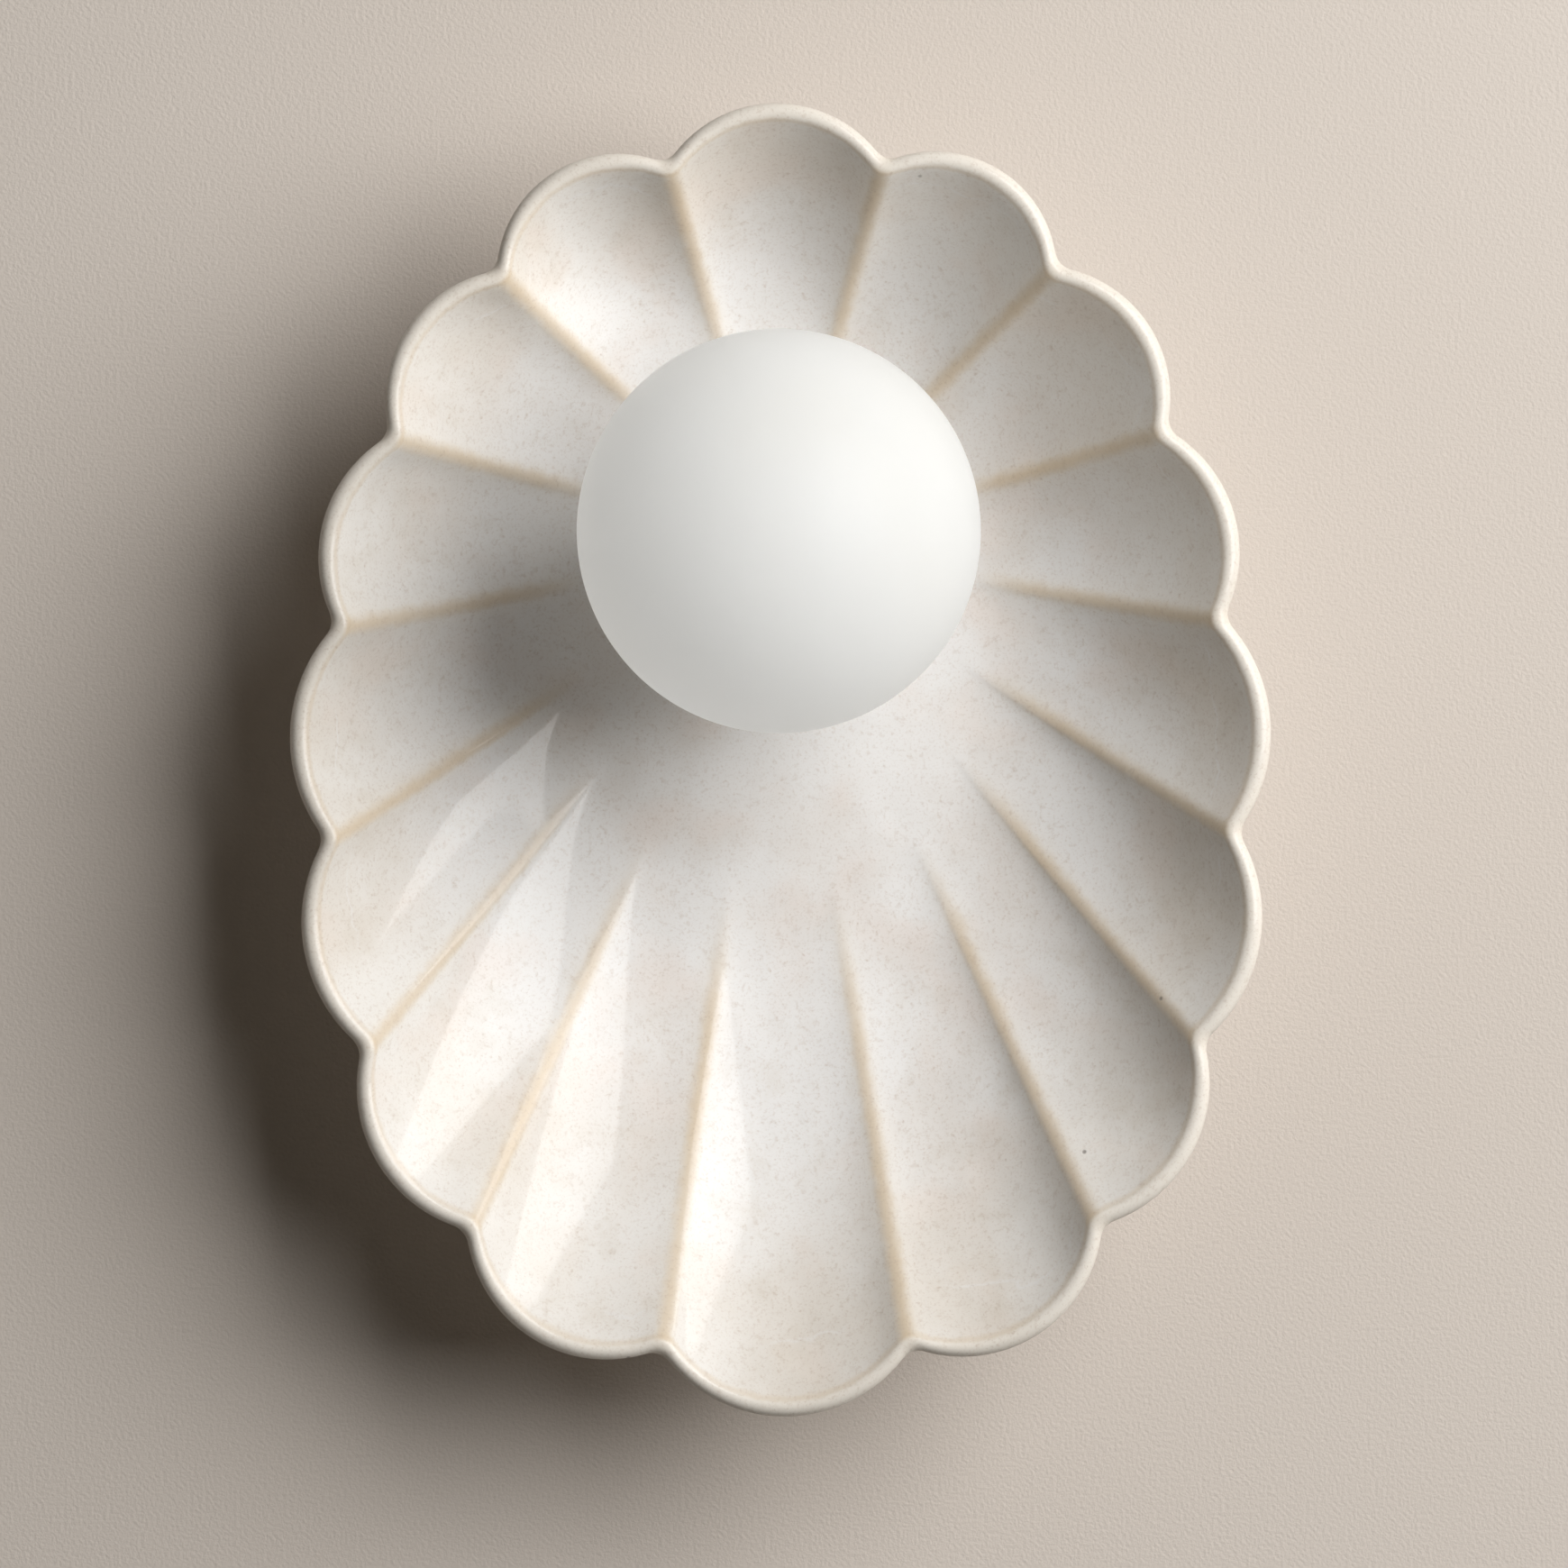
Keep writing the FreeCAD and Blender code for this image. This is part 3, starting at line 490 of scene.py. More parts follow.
@dataclass(frozen=True)
class Powder(Finish):
    """A fine, even powder coat.

    Attributes:
        tone: Its colour.
        worn: Its colour where it is rubbed.
    """

    tone: Colour
    worn: Colour

    def dress(self, surface: Surface) -> None:
        """Give the coat its fine orange peel and slight rubbing.

        Args:
            surface: The surface that gets the nodes.
        """
        place = surface.place()
        peel = surface.cloud(place, 950.0, 2.0, 0.4)
        rub = surface.cloud(place, 60.0, 4.0, 0.6).ramp(0.5, 0.8)
        surface.feed(Base_Color=surface.blend(rub * 0.6, self.tone, self.worn),
                     Roughness=0.40 + rub * 0.12 + peel * 0.06, Normal=surface.bump(peel, 0.05 * MM))


@dataclass(frozen=True)
class Moulded(Finish):
    """A moulded plastic, rubber or unglazed steatite.

    Attributes:
        tone: Its colour.
        shade: Its colour in faint clouds.
        roughness: How matt it is.
        texture: How deep its skin is, in metres.
        scale: How fine its skin is, features in a metre.
        soft: How far light travels in it, in metres, or 0.
    """

    tone: Colour
    shade: Colour
    roughness: float
    texture: float = 0.03 * MM
    scale: float = 1500.0
    soft: float = 0.0

    def dress(self, surface: Surface) -> None:
        """Give the material its clouds, dust and fine skin.

        Args:
            surface: The surface that gets the nodes.
        """
        place = surface.place()
        drift = surface.cloud(place, 120.0, 4.0, 0.55)
        skin = surface.cloud(place, self.scale, 2.0)
        surface.feed(Base_Color=surface.blend(drift.ramp(0.35, 0.7), self.tone, self.shade),
                     Roughness=self.roughness + drift * 0.10, Normal=surface.bump(skin, self.texture))
        if self.soft:
            surface.feed(Subsurface_Weight=0.2, Subsurface_Scale=self.soft)


@dataclass(frozen=True)
class Sleeve(Finish):
    """A wire's sleeve, with a spiral stripe where it has two colours.

    Attributes:
        tone: Its colour.
        stripe: The colour of its stripe.
        striped: Whether it is a clear stripe, and not only dust.
        winding: How close the stripe's turns are, in radians in a metre.
    """

    tone: Colour
    stripe: Colour
    striped: bool = False
    winding: float = 900.0

    def dress(self, surface: Surface) -> None:
        """Give the sleeve its stripe, its dusting and its fine skin.

        Args:
            surface: The surface that gets the nodes.
        """
        place = surface.place()
        dust = surface.cloud(place, 300.0, 3.0)
        share = dust.ramp(0.55, 0.8) * 0.25
        if self.striped:
            axes = surface.node("ShaderNodeSeparateXYZ", {}, {0: place})
            share = ((axes.also("X") + axes.also("Z")) * self.winding).wave().ramp(0.05, 0.25)
        surface.feed(Base_Color=surface.blend(share, self.tone, self.stripe), Roughness=0.42 + dust * 0.15,
                     Normal=surface.bump(dust, 0.03 * MM))


@dataclass(frozen=True)
class ClearCover(Finish):
    """A clear moulded cover.

    Attributes:
        tint: Its faint tint.
    """

    tint: Colour

    def dress(self, surface: Surface) -> None:
        """Make it clear, with a faintly wavy skin.

        Args:
            surface: The surface that gets the nodes.
        """
        skin = surface.cloud(surface.place(), 150.0, 2.0)
        surface.feed(Base_Color=self.tint, Roughness=0.05 + skin * 0.05, Transmission_Weight=0.9, IOR=1.49,
                     Normal=surface.bump(skin, 0.05 * MM))


FINISH_OF_SLOT: Dict[str, Finish] = {
    "glazed_shell": Glaze("speckled_milk_glaze"),
    "opal_glass": Opal("etched_opal_glass"),
    "spun_steel": Powder("cream_powder_coat", paint(228, 222, 210), paint(214, 207, 194)),
    "zinc_steel": Metal("zinc_plated_steel", paint(196, 198, 200), paint(160, 160, 156), 0.30, Grain.ROLLED),
    "brass": Metal("turned_brass", paint(222, 188, 120), paint(184, 146, 84), 0.24, Grain.DRAWN),
    "pin_wire": Metal("bright_nickel", paint(214, 211, 204), paint(188, 186, 180), 0.16, Grain.PLATED),
    "rubber_seal": Moulded("black_rubber", paint(44, 43, 42), paint(66, 64, 61), 0.62),
    "silicone_seal": Moulded("white_silicone", paint(226, 224, 218), paint(214, 211, 204), 0.45, soft=1.5 * MM),
    "steatite": Moulded("steatite", paint(232, 228, 216), paint(216, 210, 196), 0.55, 0.05 * MM, 900.0),
    "lamp_plastic": Moulded("lamp_base_plastic", paint(238, 238, 234), paint(228, 227, 222), 0.28, soft=0.8 * MM),
    "lamp_cover": ClearCover("clear_cover", paint(246, 247, 245)),
    "light_strip": Moulded("lamp_post", paint(238, 236, 228), paint(226, 224, 214), 0.5),
    "block_plastic": Moulded("block_polyamide", paint(232, 231, 224), paint(220, 218, 209), 0.42, soft=0.8 * MM),
    "brown_sleeve": Sleeve("brown_sleeve", paint(104, 64, 40), paint(122, 84, 60)),
    "blue_sleeve": Sleeve("blue_sleeve", paint(44, 92, 158), paint(74, 118, 178)),
    "green_yellow_sleeve": Sleeve("green_and_yellow_sleeve", paint(60, 132, 58), paint(222, 204, 62), striped=True),
}
PHOSPHOR = Moulded("chip_phosphor", paint(232, 198, 84), paint(222, 184, 66), 0.38, 0.02 * MM, 2600.0)


class Stock:
    """Makes each finish's material once, and knows which slot a CAD piece takes."""

    def __init__(self) -> None:
        """Start with no materials."""
        self.made: Dict[str, bpy.types.Material] = {}
        self.slots = {part["node"]: part["material_slot"] for part in frame["record"]["subparts"]}
        self.bodies = {node: body for body, nodes in frame["record"]["behaviour"]["bodies"].items()
                       for node in nodes}

    def material(self, slot: str) -> bpy.types.Material:
        """Give the material of a slot, made when it is first wanted.

        Args:
            slot: The slot.

        Returns:
            The material.
        """
        if slot not in self.made:
            self.made[slot] = FINISH_OF_SLOT[slot].make()
        return self.made[slot]

    def hand_over(self, piece: bpy.types.Object, node: str) -> None:
        """Let a finished piece ride on its node's body and stand for that node.

        Args:
            piece: The piece.
            node: The CAD node that it replaces, which gives its slot.
        """
        slot = self.slots[node]
        if not piece.data.materials:
            piece.data.materials.append(self.material(slot))
        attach(piece, self.bodies[node])
        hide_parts(node)
        LOG.info("%s: %d faces, replaces %s", piece.name, len(piece.data.polygons), node)


# ---- mesh tools

def new_piece(name: str, mesh: bpy.types.Mesh) -> bpy.types.Object:
    """Put a mesh in the scene at the origin.

    Args:
        name: The name of the mesh and of its object.
        mesh: The mesh.

    Returns:
        The object.
    """
    mesh.name = name
    piece = bpy.data.objects.new(name, mesh)
    COLLECTION.objects.link(piece)
    return piece


def smoothed(mesh: bpy.types.Mesh, sharp_over: float) -> None:
    """Shade a mesh smooth, apart from its sharp edges.

    Args:
        mesh: The mesh.
        sharp_over: The angle in degrees over which an edge stays sharp.
    """
    mesh.polygons.foreach_set("use_smooth", [True] * len(mesh.polygons))
    mesh.set_sharp_from_angle(angle=math.radians(sharp_over))
    mesh.update()


def turn_outwards(mesh: bpy.types.Mesh) -> None:
    """Weld a mesh and make its faces point outwards.

    Args:
        mesh: The mesh.
    """
    work = bmesh.new()
    work.from_mesh(mesh)
    bmesh.ops.remove_doubles(work, verts=work.verts, dist=FINE_WELD)
    bmesh.ops.recalc_face_normals(work, faces=work.faces)
    work.to_mesh(mesh)
    work.free()


def revolved(name: str, outline: Sequence[Tuple[float, float]], around: int,
             sharp_over: float = 32.0) -> bpy.types.Object:
    """Turn a closed outline about the lamp axis.

    Args:
        name: The piece's name.
        outline: Its (radius, depth) places in metres; a radius of 0 is a pole.
        around: How many steps it has round the axis.
        sharp_over: The angle in degrees over which an edge stays sharp.

    Returns:
        The piece.
    """
    work = bmesh.new()
    rings: List[List[bmesh.types.BMVert]] = []
    for radius, depth in outline:
        count = around if radius else 1
        turns = [2 * math.pi * step / around for step in range(count)]
        rings.append([work.verts.new((radius * math.cos(turn), -depth, radius * math.sin(turn))) for turn in turns])
    for near, far in zip(rings, rings[1:] + rings[:1]):
        if len(near) == 1 and len(far) == 1:
            continue
        for step in range(around):
            after = (step + 1) % around
            corners = [near[step % len(near)], near[after % len(near)], far[after % len(far)], far[step % len(far)]]
            work.faces.new(list(dict.fromkeys(corners)))
    bmesh.ops.recalc_face_normals(work, faces=work.faces)
    mesh = bpy.data.meshes.new(name)
    work.to_mesh(mesh)
    work.free()
    smoothed(mesh, sharp_over)
    return new_piece(name, mesh)


def arc(radius: float, depth: float, size: float, start: float, end: float, steps: int) -> List[Tuple[float, float]]:
    """Places on part of a circle in the turning plane.

    Args:
        radius: The circle's centre, off the axis.
        depth: The circle's centre, off the wall.
        size: The circle's radius.
        start: The first angle in degrees; 0 points off the axis and 90 to the front.
        end: The last angle.
        steps: How many steps between them.

    Returns:
        The (radius, depth) places.
    """
    turns = [math.radians(start + (end - start) * step / steps) for step in range(steps + 1)]
    return [(max(radius + size * math.cos(turn), 0.0), depth + size * math.sin(turn)) for turn in turns]


def applied(piece: bpy.types.Object, modifier: bpy.types.Modifier) -> bpy.types.Mesh:
    """Make a piece's modifier real and take it off.

    Args:
        piece: The piece.
        modifier: Its only modifier.

    Returns:
        A plain mesh of what the modifier made.
    """
    graph = bpy.context.evaluated_depsgraph_get()
    mesh = bpy.data.meshes.new_from_object(piece.evaluated_get(graph), preserve_all_data_layers=True, depsgraph=graph)
    piece.modifiers.remove(modifier)
    return mesh


# ---- pieces that a rule makes, by Geometry Nodes

class RuleTree:
    """A Geometry Nodes tree with named inputs, run once to give a plain mesh."""

    def __init__(self, name: str, **labels: Tuple[str, ...]) -> None:
        """Start a tree.

        Args:
            name: The tree's name.
            labels: The names of its inputs, by the type of their sockets.
        """
        self.tree = bpy.data.node_groups.new(name, "GeometryNodeTree")
        self.bench = Bench(self.tree)
        for kind, names in labels.items():
            for label in names:
                self.tree.interface.new_socket(label, in_out="INPUT", socket_type="NodeSocket" + kind)
        self.tree.interface.new_socket("Geometry", in_out="OUTPUT", socket_type="NodeSocketGeometry")
        entry = self.tree.nodes.new("NodeGroupInput")
        self.inputs = {label: Link(self.bench, entry.outputs[label]) for names in labels.values() for label in names}

    def close(self, geometry: Link, finish: Link) -> None:
        """End the tree: make instances real, set the material and hand the geometry out.

        Args:
            geometry: What the tree made.
            finish: Its material.
        """
        real = self.bench.node("GeometryNodeRealizeInstances", {}, {0: geometry})
        dressed = self.bench.node("GeometryNodeSetMaterial", {}, {"Geometry": real, "Material": finish})
        self.bench.give(self.tree.nodes.new("NodeGroupOutput").inputs["Geometry"], dressed)

    def run(self, name: str, values: Dict[str, Any]) -> bpy.types.Object:
        """Run the tree and keep its result.

        Args:
            name: The piece's name.
            values: A value for each named input.

        Returns:
            The piece, with a plain mesh and no modifier.
        """
        carrier = new_piece(name + "_carrier", bpy.data.meshes.new(name + "_carrier"))
        modifier = carrier.modifiers.new("rule", "NODES")
        modifier.node_group = self.tree
        for item in self.tree.interface.items_tree:
            if item.in_out == "INPUT":
                modifier[item.identifier] = values[item.name]
        mesh = applied(carrier, modifier)
        bpy.data.objects.remove(carrier)
        return new_piece(name, mesh)


def sizes_of(piece: Any) -> Dict[str, Any]:
    """Give a piece's sizes by the names that its rule tree has for them."""
    return {label.capitalize(): value for label, value in vars(piece).items() if label != "name"}


def data_line(name: str, places: Sequence[Vector], numbers: Dict[str, Sequence[float]],
              vectors: Optional[Dict[str, Sequence[Vector]]] = None) -> bpy.types.Object:
    """A mesh of loose points that carries numbers for a rule tree to read.

    Args:
        name: Its name.
        places: The points.
        numbers: Numbers for each point, by name.
        vectors: Vectors for each point, by name.

    Returns:
        The object, to be removed after use.
    """
    mesh = bpy.data.meshes.new(name)
    mesh.from_pydata([tuple(place) for place in places], [], [])
    for label, values in numbers.items():
        mesh.attributes.new(label, "FLOAT", "POINT").data.foreach_set("value", list(values))
    for label, values in (vectors or {}).items():
        flat = [number for value in values for number in value]
        mesh.attributes.new(label, "FLOAT_VECTOR", "POINT").data.foreach_set("vector", flat)
    return new_piece(name, mesh)


@dataclass
class FlutedDish:
    """The ceramic shell: every line round it has the outline's shape, drawn in towards the lamp axis.

    Lengths are in metres and follow the CAD model's.
    """

    half_width: float = 114.9 * MM
    half_height: float = 152.8 * MM
    drop: float = 55.7 * MM
    fullness: float = 2.16
    heaviness: float = 0.047
    rib_turns: Tuple[float, ...] = (12.9, 37.9, 59.5, 78.6, 96.3, 116.5, 139.4, 166.3)
    rise_side: float = 10.0 * MM
    rise_top: float = 15.1 * MM
    rise_bottom: float = 17.2 * MM
    rise_power: int = 4
    rib_round: float = 3.0 * MM
    wall: float = 5.5 * MM
    floor: float = 25.5 * MM
    rise: float = 42.0 * MM
    floor_reach: float = 56.2 / 133.85
    curve: float = 1.85
    hole: float = 5.25 * MM
    foot_reach: float = 0.12
    lip_relief: float = 0.7
    floor_shares: Tuple[float, ...] = (0.25, 0.5, 0.75)
    foot_shares: Tuple[float, ...] = (0.9, 0.5)
    flute_steps: int = 26
    bend_steps: int = 8
    inside_rows: int = 34
    outside_rows: int = 20
    lip_rows: int = 12

    def rib_end(self, turn: float) -> Tuple[Vector, Vector]:
        """Where a rib ends on the oval, seen from the front.

        Args:
            turn: The rib's turn from the top, in radians.

        Returns:
            The place and the oval's outward direction there.
        """
        sine, cosine = math.sin(turn), math.cos(turn)
        power = 2 / self.fullness
        across = self.half_width * (1 - self.heaviness * cosine) * math.copysign(abs(sine) ** power, sine)
        height = self.half_height * math.copysign(abs(cosine) ** power, cosine)
        outward = Vector((across / self.half_width ** 2, height / self.half_height ** 2)).normalized()
        return Vector((across, height - self.drop)), outward

    def spans(self) -> List[Tuple[float, float]]:
        """Find the turns at which each flute starts and ends.

        Returns:
            A pair of turns for each flute.
        """
        right = [math.radians(turn) for turn in self.rib_turns]
        starts = right + [2 * math.pi - turn for turn in reversed(right)]
        return list(zip(starts, starts[1:] + [starts[0] + 2 * math.pi]))

    def flute(self, span: Tuple[float, float], grow: float) -> List[Vector]:
        """Evenly spaced places along one flute's arc, cut back at its ribs.

        Args:
            span: The turns at which it starts and ends.
            grow: How far the outline is moved outwards.

        Returns:
            The places.
        """
        (start, start_out), (end, end_out) = self.rib_end(span[0]), self.rib_end(span[1])
        start, end = start + start_out * grow, end + end_out * grow
        middle = (span[0] + span[1]) / 2
        top = self.rise_top if math.cos(middle) > 0 else self.rise_bottom
        rise = self.rise_side + (top - self.rise_side) * math.cos(middle) ** self.rise_power
        half = (end - start).length / 2
        along = (end - start).normalized()
        outward = Vector((-along.y, along.x))
        radius = (half ** 2 + rise ** 2) / (2 * rise)
        centre = (start + end) / 2 + outward * (rise - radius)
        reach = math.atan2(half, radius - rise)
        first = -reach + reach * self.rib_round / half
        turns = [first - 2 * first * step / self.flute_steps for step in range(self.flute_steps + 1)]
        return [centre + along * radius * math.sin(turn) + outward * radius * math.cos(turn) for turn in turns]

    def outline(self, grow: float) -> List[Vector]:
        """Join the flutes by short bends at the ribs.

        Args:
            grow: How far the outline is moved outwards.

        Returns:
            The places of the whole closed outline.
        """
        flutes = [self.flute(span, grow) for span in self.spans()]
        places: List[Vector] = []
        for flute, after in zip(flutes, flutes[1:] + flutes[:1]):
            places += flute
            start, end = flute[-1], after[0]
            heading = (flute[-1] - flute[-2]).normalized()
            gap = end - start
            corner = start + heading * (gap.length_squared / 2 / heading.dot(gap))
            for step in range(1, self.bend_steps):
                share = step / self.bend_steps
                places.append(start * (1 - share) ** 2 + corner * 2 * share * (1 - share) + end * share ** 2)
        return places

    def rib_gaps(self, places: Sequence[Vector]) -> List[float]:
        """Measure along the outline to the nearest rib's crest.

        Args:
            places: The outline.

        Returns:
            How far each place is from a crest.
        """
        crests = range(self.flute_steps + self.bend_steps // 2, len(places), self.flute_steps + self.bend_steps)
        run = [0.0, *accumulate((after - here).length for here, after in zip(places, [*places[1:], places[0]]))]
        whole = run.pop()
        away = [[abs(here - run[crest]) for crest in crests] for here in run]
        return [min(min(gap, whole - gap) for gap in gaps) for gaps in away]

    @property
    def reach(self) -> float:
        """The oval's mean half width."""
        return (self.half_width + self.half_height) / 2

    def out(self, step: float) -> float:
        """How far out a line lies, as a share of the whole, at a share of the way from the floor to the lip."""
        return self.floor_reach + (1 - self.floor_reach) * step

    def lean(self, step: float) -> float:
        """The angle between the wall and the floor, at a share of the way from the floor to the lip."""
        return math.atan(self.rise * self.curve * step ** (self.curve - 1) / ((1 - self.floor_reach) * self.reach))

    def profile(self) -> Dict[str, List[float]]:
        """The rows from the hole, over the inside, the lip and the outside, and back to the hole.

        Returns:
            For each row, how it grows and scales the outline, its depth, how round it is and where it lies.
        """
        lip = self.wall / 2
        lean = self.lean(1.0)
        full = self.reach + self.wall * math.sin(lean)
        rise = self.rise - lip * (1 - math.cos(lean))
        inside_grow = -lip * (1 + math.sin(lean))
        outside_grow = -lip * (1 - math.sin(lean))
        rows: List[Dict[str, float]] = []

        def row(grow: float, scale: float, depth: float, rounded: float = 0.0, **more: float) -> None:
            """Note one row."""
            rows.append({"grow": grow, "scale": scale, "depth": depth, "rounded": rounded, "relief": 0.0,
                         "foot": 0.0, **more})

        row(inside_grow, self.hole / self.reach, self.floor, 1.0)
        for share in self.floor_shares:
            row(inside_grow, self.floor_reach * share, self.floor)
        for index in range(self.inside_rows + 1):
            step = index / self.inside_rows
            row(inside_grow, self.out(step), self.floor + rise * step ** self.curve, relief=math.sin(self.lean(step)))
        for index in range(1, self.lip_rows):
            turn = math.pi * index / self.lip_rows - lean
            row(lip * (math.sin(turn) - 1), 1.0, self.floor + self.rise - lip * (1 - math.cos(turn)),
                relief=self.lip_relief)
        for index in range(self.outside_rows, -1, -1):
            step = index / self.outside_rows
            tilt = self.lean(step)
            row(outside_grow, (self.out(step) * self.reach + self.wall * math.sin(tilt)) / full,
                self.floor + rise * step ** self.curve - self.wall * math.cos(tilt), relief=math.sin(tilt),
                foot=float(step < self.foot_reach))
        for share in self.foot_shares:
            row(outside_grow, self.floor_reach * self.reach / full * share, self.floor - self.wall, foot=1.0)
        row(outside_grow, self.hole / self.reach, self.floor - self.wall, 1.0, foot=1.0)
        rows.append(dict(rows[0]))
        numbers = {label: [entry[label] for entry in rows] for label in rows[0]}
        top = 1 + len(self.floor_shares) + self.inside_rows + self.lip_rows // 2
        run = [0.0]
        for before, after in zip(rows, rows[1:]):
            step_out = (after["scale"] - before["scale"]) * self.reach + after["grow"] - before["grow"]
            run.append(run[-1] + math.hypot(step_out, after["depth"] - before["depth"]))
        numbers["from_lip"] = [run[top] - here for here in run]
        return numbers

    def rule(self) -> RuleTree:
        """Make the tree that draws the outline through every row of the profile.

        Returns:
            The tree.
        """
        rule = RuleTree("fluted_dish", Object=("Outline", "Profile"), Int=("Places round", "Rows"), Float=("Hole",),
                        Material=("Glaze",))
        bench, given = rule.bench, rule.inputs
        around = given["Places round"]
        grid = bench.node("GeometryNodeMeshGrid", {}, {"Vertices X": given["Rows"], "Vertices Y": around + 1.0})
        index = bench.node("GeometryNodeInputIndex")
        row = index.maths("FLOOR", index / (around + 1.0))
        spoke = (index % (around + 1.0)) % around
        outline, profile = (bench.node("GeometryNodeObjectInfo", {}, {"Object": given[label]}, "Geometry")
                            for label in ("Outline", "Profile"))

        def sample(source: Link, label: str, kind: str, at: Link) -> Link:
            """Read a named number or vector of one point of a source.

            Args:
                source: The points.
                label: The name.
                kind: The type of what is read.
                at: Which point.

            Returns:
                What is read.
            """
            named = bench.node("GeometryNodeInputNamedAttribute", {"data_type": kind}, {"Name": label})
            return bench.node("GeometryNodeSampleIndex", {"data_type": kind},
                              {"Geometry": source, "Value": named, "Index": at})

        place = sample(outline, "position", "FLOAT_VECTOR", spoke)
        swell = sample(outline, "swell", "FLOAT_VECTOR", spoke)
        gap = sample(outline, "from_rib", "FLOAT", spoke)
        read = {label: sample(profile, label, "FLOAT", row)
                for label in ("grow", "scale", "depth", "rounded", "relief", "foot", "from_lip")}

        def vector(operation: str, first: Link, second: Any, socket: Union[str, int] = 1) -> Link:
            """Add a Vector Math node."""
            return bench.node("ShaderNodeVectorMath", {"operation": operation}, {0: first, socket: second})

        grown = vector("ADD", place, vector("SCALE", swell, read["grow"], "Scale"))
        drawn = vector("SCALE", grown, read["scale"], "Scale")
        outward = bench.node("ShaderNodeVectorMath", {"operation": "NORMALIZE"}, {0: place})
        circle = vector("SCALE", outward, given["Hole"], "Scale")
        flat = bench.node("ShaderNodeMix", {"data_type": "VECTOR"}, {0: read["rounded"], 4: drawn, 5: circle}, 1)
        lift = bench.node("ShaderNodeCombineXYZ", {}, {1: 0.0 - read["depth"]})
        shape = bench.node("GeometryNodeSetPosition", {}, {"Geometry": grid, "Position": vector("ADD", flat, lift)})
        kept = {label: read[label] for label in ("from_lip", "relief", "foot")}
        for label, value in {"from_rib": gap * read["scale"], **kept}.items():
            shape = bench.node("GeometryNodeStoreNamedAttribute", {"data_type": "FLOAT", "domain": "POINT"},
                               {"Geometry": shape, "Name": label, "Value": value})
        welded = bench.node("GeometryNodeMergeByDistance", {}, {"Geometry": shape, "Distance": WELD})
        rule.close(welded, given["Glaze"])
        return rule

    def build(self, stock: Stock) -> None:
        """Make the shell in place of the CAD one.

        Args:
            stock: The finishes.
        """
        places = self.outline(0.0)
        shrink = -self.wall
        swells = [(inner - outer) / shrink for inner, outer in zip(self.outline(shrink), places)]
        outline = data_line("outline", [Vector((place.x, 0, place.y)) for place in places],
                            {"from_rib": self.rib_gaps(places)},
                            {"swell": [Vector((swell.x, 0, swell.y)) for swell in swells]})
        rows = self.profile()
        count = len(rows["scale"])
        profile = data_line("profile", [Vector((index, 0, 0)) for index in range(count)], rows)
        shell = self.rule().run("glazed_shell", {
            "Outline": outline, "Profile": profile, "Places round": len(places), "Rows": count, "Hole": self.hole,
            "Glaze": stock.material("glazed_shell")})
        for helper in (outline, profile):
            bpy.data.objects.remove(helper)
        turn_outwards(shell.data)
        smoothed(shell.data, sharp_over=50.0)
        stock.hand_over(shell, "ceramic_shell")


@dataclass(frozen=True)
class ScrewThread:
    """A ridge wound round a neck or a tube, which fades out at both ends.

    Lengths are in metres.
    """

    name: str
    start: float
    lead: float
    turns: float
    radius: float
    ridge: float
    sides: int
    steps: int
    taper: float = 40.0
    thinnest: float = 0.12

    def rule(self) -> RuleTree:
        """Make the tree that winds the ridge from its numbers.

        Returns:
            The tree.
        """
        rule = RuleTree("screw_thread", Float=("Start", "Lead", "Turns", "Radius", "Ridge", "Taper", "Thinnest"),
                        Int=("Sides", "Steps"), Material=("Finish",))
        bench, given = rule.bench, rule.inputs
        spiral = bench.node("GeometryNodeCurveSpiral", {}, {
            "Resolution": given["Steps"], "Rotations": given["Turns"], "Start Radius": given["Radius"],
            "End Radius": given["Radius"], "Height": given["Turns"] * given["Lead"], "Reverse": True})
        along = bench.node("GeometryNodeSplineParameter", output="Factor")
        to_end = along.maths("MINIMUM", along, 1.0 - along)
        fade = to_end.maths("MINIMUM", to_end * given["Taper"] + given["Thinnest"], 1.0)
        tapered = bench.node("GeometryNodeSetCurveRadius", {}, {"Curve": spiral, "Radius": fade})
        ring = bench.node("GeometryNodeCurvePrimitiveCircle", {},
                          {"Resolution": given["Sides"], "Radius": given["Ridge"]})
        swept = bench.node("GeometryNodeCurveToMesh", {},
                           {"Curve": tapered, "Profile Curve": ring, "Fill Caps": True})
        lift = bench.node("ShaderNodeCombineXYZ", {}, {1: 0.0 - given["Start"]})
        turned = bench.node("GeometryNodeTransform", {},
                            {"Geometry": swept, "Translation": lift, "Rotation": (math.pi / 2, 0.0, 0.0)})
        rule.close(turned, given["Finish"])
        return rule

    def build(self, stock: Stock, node: str) -> None:
        """Wind the ridge on a node.

        Args:
            stock: The finishes.
            node: The CAD node that it belongs to.
        """
        ridge = self.rule().run(self.name, {**sizes_of(self), "Finish": stock.material(stock.slots[node])})
        turn_outwards(ridge.data)
        smoothed(ridge.data, sharp_over=70.0)
        stock.hand_over(ridge, node)


